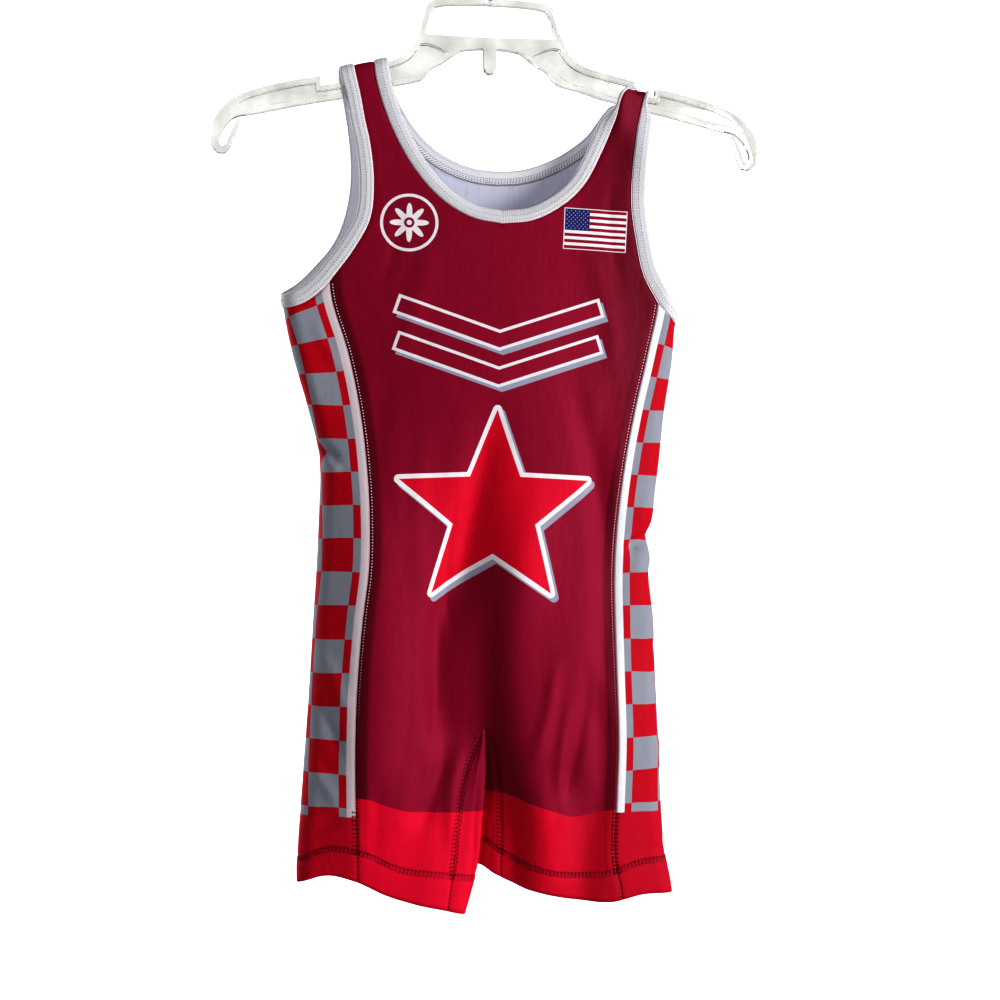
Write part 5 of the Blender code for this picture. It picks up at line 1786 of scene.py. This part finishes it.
@dataclass
class Hanger:
    """A clear moulded hanger with a wire hook, drawn in X and Z and given its depth in Y."""

    finishes: Finishes
    arm_half: float = 3.0
    web_half: float = 0.9
    wire: float = 1.7
    hook_inside: float = 18.0
    bore_gap: float = 0.45
    boss_radius: float = 4.2
    edge: float = 0.55
    top_edge: Outline = (
        (0, -50.6), (20, -51.2), (37, -52.6), (41.5, -55.4), (46.8, -75), (54, -88), (64, -94),
        (74, -96.3), (97.4, -101.9), (97.4, -109.4), (111.4, -112.2), (111.4, -105.8), (125, -108.3),
        (143, -112.6), (156, -116.6), (166, -121), (174, -127.6), (180, -136), (182.6, -147),
        (181, -153.8),
    )  # fmt: skip
    under_edge: Outline = (
        (177, -157.6), (172.5, -157.6), (169.3, -154.2), (167.3, -148), (164.6, -141.5), (163, -135.9),
        (164.8, -135.5), (166.5, -139), (169.5, -145.5), (171.6, -151.6), (174, -153.8), (176, -152.4),
        (176.6, -148), (173.5, -141), (168, -135), (163.4, -133.1), (156, -132), (143, -129),
        (130, -125.8), (111, -121.9), (97.4, -119.6), (85, -115.7), (74, -113.6), (61.6, -109.4),
        (50, -107), (44.4, -105.4), (38, -97), (31.9, -94.4), (22, -86.9), (18, -84.8), (4.2, -83.6),
        (4.2, -96), (2.8, -99.2), (0, -100.2),
    )  # fmt: skip
    window: Outline = (
        (0, -54.2), (28, -55.2), (37, -57.2), (39.2, -60.8), (43.2, -73), (42.4, -75.8), (0, -76.6),
    )  # fmt: skip
    pocket: Outline = (
        (28, -87), (40, -81.5), (46.4, -82), (52.5, -91.5), (63, -97), (74, -99.4), (94.6, -104.4),
        (94.6, -111.8), (113.8, -115.6), (114.2, -109.8), (125, -111.6), (143, -116), (156, -120),
        (164.5, -124.5), (160, -128.6), (143, -125.5), (130, -122.6), (111, -118.7), (97, -116.4),
        (85, -112.6), (74, -110.4), (62, -106.2), (48, -102.6), (38.6, -92.8), (30, -89.4),
    )  # fmt: skip

    @staticmethod
    def mirrored(outline: Outline) -> Outline:
        """An outline on the other side."""
        return tuple((-x, z) for x, z in reversed(outline))

    def both_sides(self, half: Outline) -> Outline:
        """A half outline that starts and ends on the middle, with its mirror image."""
        return half + tuple(corner for corner in self.mirrored(half) if corner[0] < 0)

    def prism(self, name: str, outline: Outline, low: float, high: float) -> Object:
        """Solid of an outline between two depths, its bends rounded and its corners eased.

        Args:
            name: The object's name.
            outline: Corners in X and Z.
            low: Front Y.
            high: Back Y.

        Returns:
            The object.
        """
        bm = bmesh.new()
        bm.faces.new([bm.verts.new((x, low, z)) for x, z in outline])
        soft, hard = [], []
        for vert in bm.verts:
            one, two = (edge.other_vert(vert).co - vert.co for edge in vert.link_edges)
            (soft if abs(math.pi - one.angle(two)) < math.radians(38) else hard).append(vert)
        common = {"affect": "VERTICES", "profile": 0.5, "material": -1, "clamp_overlap": True}
        bmesh.ops.bevel(bm, geom=hard, offset=0.8, offset_type="OFFSET", segments=3, **common)
        soft = [vert for vert in soft if vert.is_valid]
        bmesh.ops.bevel(bm, geom=soft, offset=42.0, offset_type="PERCENT", segments=4, **common)
        bmesh.ops.remove_doubles(bm, verts=bm.verts, dist=0.02)
        grown = bmesh.ops.extrude_face_region(bm, geom=bm.faces[:])["geom"]
        moved = [part for part in grown if isinstance(part, BMVert)]
        bmesh.ops.translate(bm, vec=(0, high - low, 0), verts=moved)
        bmesh.ops.recalc_face_normals(bm, faces=bm.faces)
        return new_object(name, bm, self.finishes.plastic)

    def pin(self, name: str, foot: float, top: float, radius: float) -> Object:
        """Upright round pin on the middle line."""
        bm = bmesh.new()
        size = {"radius1": radius, "radius2": radius, "depth": top - foot}
        turn = Matrix.Translation((0, 0, (foot + top) / 2))
        bmesh.ops.create_cone(bm, cap_ends=True, segments=32, matrix=turn, **size)
        return new_object(name, bm, self.finishes.plastic)

    def body(self) -> Object:
        """The moulded body: arms with raised rims and thin webs, loop, peg and the hook's boss, all eased."""
        outline = self.both_sides(self.top_edge + self.under_edge)
        body = self.prism("hanger_frame", outline, -self.arm_half, self.arm_half)
        beyond = self.arm_half + 2
        tools = [self.prism("window_tool", self.both_sides(self.window), -beyond, beyond)]
        for i, outline in enumerate((self.pocket, self.mirrored(self.pocket))):
            tools.append(self.prism(f"front_pocket_tool_{i}", outline, -beyond, -self.web_half))
            tools.append(self.prism(f"back_pocket_tool_{i}", outline, self.web_half, beyond))
        tools.append(self.pin("boss_tool", -53.0, -44.0, self.boss_radius))
        tools.append(self.pin("bore_tool", -51.9, -42.0, self.wire + self.bore_gap))
        for tool in tools:
            modifier = body.modifiers.new(tool.name, "BOOLEAN")
            modifier.operation = "UNION" if tool.name == "boss_tool" else "DIFFERENCE"
            modifier.solver = "EXACT"
            modifier.object = tool
        bm = bmesh.new()
        bm.from_object(body, bpy.context.evaluated_depsgraph_get())
        body.modifiers.clear()
        for tool in tools:
            bpy.data.objects.remove(tool, do_unlink=True)
        bmesh.ops.remove_doubles(bm, verts=bm.verts, dist=0.02 * MM)
        bmesh.ops.dissolve_limit(bm, angle_limit=math.radians(1.0), verts=bm.verts, edges=bm.edges)
        bm.normal_update()
        sharp = [edge for edge in bm.edges if edge.is_manifold and edge.calc_face_angle() > math.radians(50)]
        bmesh.ops.bevel(
            bm, geom=sharp, offset=self.edge * MM, offset_type="OFFSET", segments=2, profile=0.5,
            affect="EDGES", material=-1, clamp_overlap=True,
        )  # fmt: skip
        bmesh.ops.recalc_face_normals(bm, faces=bm.faces)
        bm.to_mesh(body.data)
        bm.free()
        body.data.shade_smooth()
        body.data.set_sharp_from_angle(angle=math.radians(38))
        return body

    def hook(self) -> Object:
        """The wire hook, from its bore up and over to its rounded tip."""
        radius, centre = self.hook_inside + self.wire, -self.hook_inside
        line = [(0, -51.6), (0, -49), (0, -47), (0.1, -44), (0.4, centre - radius - 3)]
        turns = [math.radians(degrees) for degrees in range(-72, 181, 6)]
        line += [(radius * math.cos(turn), centre + radius * math.sin(turn)) for turn in turns]
        line = even_line(np.array([*line, (-radius + 0.6, centre - 5.0)]))
        tip, turns = unit(line[-1] - line[-2]) * self.wire, (0.4, 0.8, 1.15, 1.4)
        line = np.concatenate([line, [line[-1] + tip * math.sin(turn) for turn in turns]])
        sizes = [1.0] * (len(line) - len(turns)) + [math.cos(turn) for turn in turns]
        stands = []
        for (x, z), (run_x, run_z), size in zip(line, np.gradient(line, axis=0), sizes):
            turn = Matrix.Rotation(math.atan2(-run_x, -run_z), 4, "Y")
            stands.append(Matrix.Translation((x, 0, z)) @ turn @ Matrix.Scale(size, 4))
        bm = bmesh.new()
        bmesh.ops.create_circle(bm, cap_ends=True, segments=20, radius=self.wire, matrix=stands[0])
        edges = bm.edges[:]
        for before, stand in zip(stands, stands[1:]):
            grown = bmesh.ops.extrude_edge_only(bm, edges=edges)["geom"]
            ring = {part for part in grown if isinstance(part, BMVert)}
            edges = list({edge for vert in ring for edge in vert.link_edges if edge.other_vert(vert) in ring})
            bmesh.ops.transform(bm, matrix=stand @ before.inverted(), verts=list(ring))
        bmesh.ops.edgeloop_fill(bm, edges=edges)
        bmesh.ops.recalc_face_normals(bm, faces=bm.faces)
        for face in bm.faces:
            face.smooth = len(face.verts) == 4
        return new_object("wire_hook", bm, self.finishes.wire)

    def build(self) -> dict[str, Object]:
        """Makes the body and its hook."""
        return {"hanger_frame": self.body(), "wire_hook": self.hook()}


# ---- Stage ----


@dataclass
class Softbox:
    """One large soft light, in metres."""

    name: str
    at: Triple
    size: float
    power: float
    tint: Colour = (1.0, 1.0, 1.0)

    def build(self, aim: Vector) -> None:
        """Hangs the light and turns it to the object."""
        lamp = bpy.data.lights.new(self.name, "AREA")
        lamp.shape = "DISK"
        lamp.size = self.size
        lamp.energy = self.power
        lamp.color = self.tint
        made = bpy.data.objects.new(self.name, lamp)
        made.location = self.at
        made.rotation_euler = (aim - Vector(self.at)).to_track_quat("-Z", "Y").to_euler()
        bpy.context.scene.collection.objects.link(made)


@dataclass
class Stage:
    """Plain pale floor that runs up into a round wall, soft lights and the camera, in metres."""

    floor_z: float = -1.15
    floor_radius: float = 2.3
    wall_radius: float = 3.1
    wall_top: float = 3.4
    target: Triple = (0.0092, -0.0013, -0.3807)
    camera_at: Triple = (-0.1717, -1.2887, -0.3807)
    lens: float = 70.92
    roll: float = 0.5
    lights: tuple[Softbox, ...] = (
        Softbox("key", (1.98, -1.5, -0.08), 1.2, 56.0, (1.0, 0.99, 0.97)),
        Softbox("fill", (-1.2, -2.2, 0.4), 1.6, 4.2),
        Softbox("top", (0.1, -0.3, 1.9), 1.8, 3.0),
        Softbox("back_left", (-1.95, 1.5, 0.25), 1.1, 48.0),
        Softbox("back_right", (1.4, 2.0, 0.2), 1.5, 12.0),
    )

    def backdrop(self) -> Object:
        """The round floor and wall in one."""
        bm = bmesh.new()
        bend = self.wall_radius - self.floor_radius
        profile = [(0.0, self.floor_z)]
        for turn in np.linspace(0, math.pi / 2, 13):
            rise = self.floor_z + bend * (1 - math.cos(turn))
            profile.append((self.floor_radius + bend * math.sin(turn), rise))
        profile.append((self.wall_radius, self.wall_top))
        verts = [bm.verts.new((r / MM, 0.0, z / MM)) for r, z in profile]
        edges = [bm.edges.new(pair) for pair in zip(verts, verts[1:])]
        bmesh.ops.spin(
            bm, geom=verts + edges, cent=(0, 0, 0), axis=(0, 0, 1), dvec=(0, 0, 0), angle=math.tau, steps=72,
            use_merge=True,
        )  # fmt: skip
        bmesh.ops.remove_doubles(bm, verts=bm.verts, dist=0.1)
        bmesh.ops.recalc_face_normals(bm, faces=bm.faces)
        return new_object("pale_floor", bm, self._paint(), rounded=True)

    @staticmethod
    def _paint() -> Material:
        """Matt white paint, lit a little from within so that it stays even."""
        look = bpy.data.materials.new("pale_paint")
        look.use_nodes = True
        g = Graph(look.node_tree)
        path = g.node("LightPath").outputs
        seen = g.line(path["Is Camera Ray"], 0.95, 0.05)
        values = {"Base Color": (0.3, 0.3, 0.3), "Roughness": 0.9, "Specular IOR Level": 0.1}
        values |= {"Emission Color": (1.0, 1.0, 1.0)}
        values |= {"Emission Strength": g.line(path["Is Transmission Ray"], 0.55, seen)}
        g.fill(look.node_tree.nodes["Principled BSDF"], values)
        return look

    def camera(self) -> None:
        """Sets up the camera."""
        lens = bpy.data.cameras.new("camera")
        lens.lens = self.lens
        lens.sensor_width = 36.0
        lens.sensor_fit = "HORIZONTAL"
        made = bpy.data.objects.new("camera", lens)
        turn = (Vector(self.target) - Vector(self.camera_at)).to_track_quat("-Z", "Y").to_matrix().to_4x4()
        roll = Matrix.Rotation(math.radians(self.roll), 4, "Z")
        made.matrix_world = Matrix.Translation(self.camera_at) @ turn @ roll
        bpy.context.scene.collection.objects.link(made)
        bpy.context.scene.camera = made

    def build(self) -> None:
        """Builds the whole stage."""
        self.backdrop()
        for light in self.lights:
            light.build(Vector(self.target))
        self.camera()
        scene = bpy.context.scene
        scene.view_settings.view_transform = "Standard"
        scene.view_settings.look = "High Contrast"
        world = bpy.data.worlds.new("pale_sky")
        world.use_nodes = True
        Graph(world.node_tree).fill(world.node_tree.nodes["Background"], {0: (1.0, 1.0, 1.0), 1: 0.06})
        scene.world = world


# ---- Putting it together ----

REPLACED = {
    "front_cloth": "front_panel",
    "back_cloth": "back_panel",
    "side_cloth_left": "side_panel_left",
    "side_cloth_right": "side_panel_right",
    "neck_rib": "neck_binding",
    "armhole_rib_left": "armhole_binding_left",
    "armhole_rib_right": "armhole_binding_right",
    "hanger_frame": "hanger_body",
    "wire_hook": "hanger_hook",
}


def main() -> None:
    """Builds every piece in order and reports it."""
    logging.basicConfig(level=logging.INFO, format="%(name)s: %(message)s")
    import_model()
    Stage().build()
    finishes = Finishes()
    cloth = SewnPieces(finishes)
    pieces = cloth.build()
    threads = Stitching(cloth).build()
    pieces.update(Hanger(finishes).build())
    for name, piece in {**pieces, **threads}.items():
        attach(piece, BODY)
        if name in REPLACED:
            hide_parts(REPLACED[name])
        LOG.info("%s: %d faces", name, len(piece.data.polygons))
    declare_sheets(pieces, threads)


def declare_sheets(pieces: dict[str, Object], threads: dict[str, Object]) -> None:
    """Gathers the threads not named for the back, and the bound edges; nothing further is done with them.

    Args:
        pieces: The cloth and hanger by name.
        threads: The threads by name.
    """
    with_front = [thread for name, thread in threads.items() if "back" not in name]
    with_front += [piece for name, piece in pieces.items() if "_rib" in name]


if __name__ == "__main__":
    main()
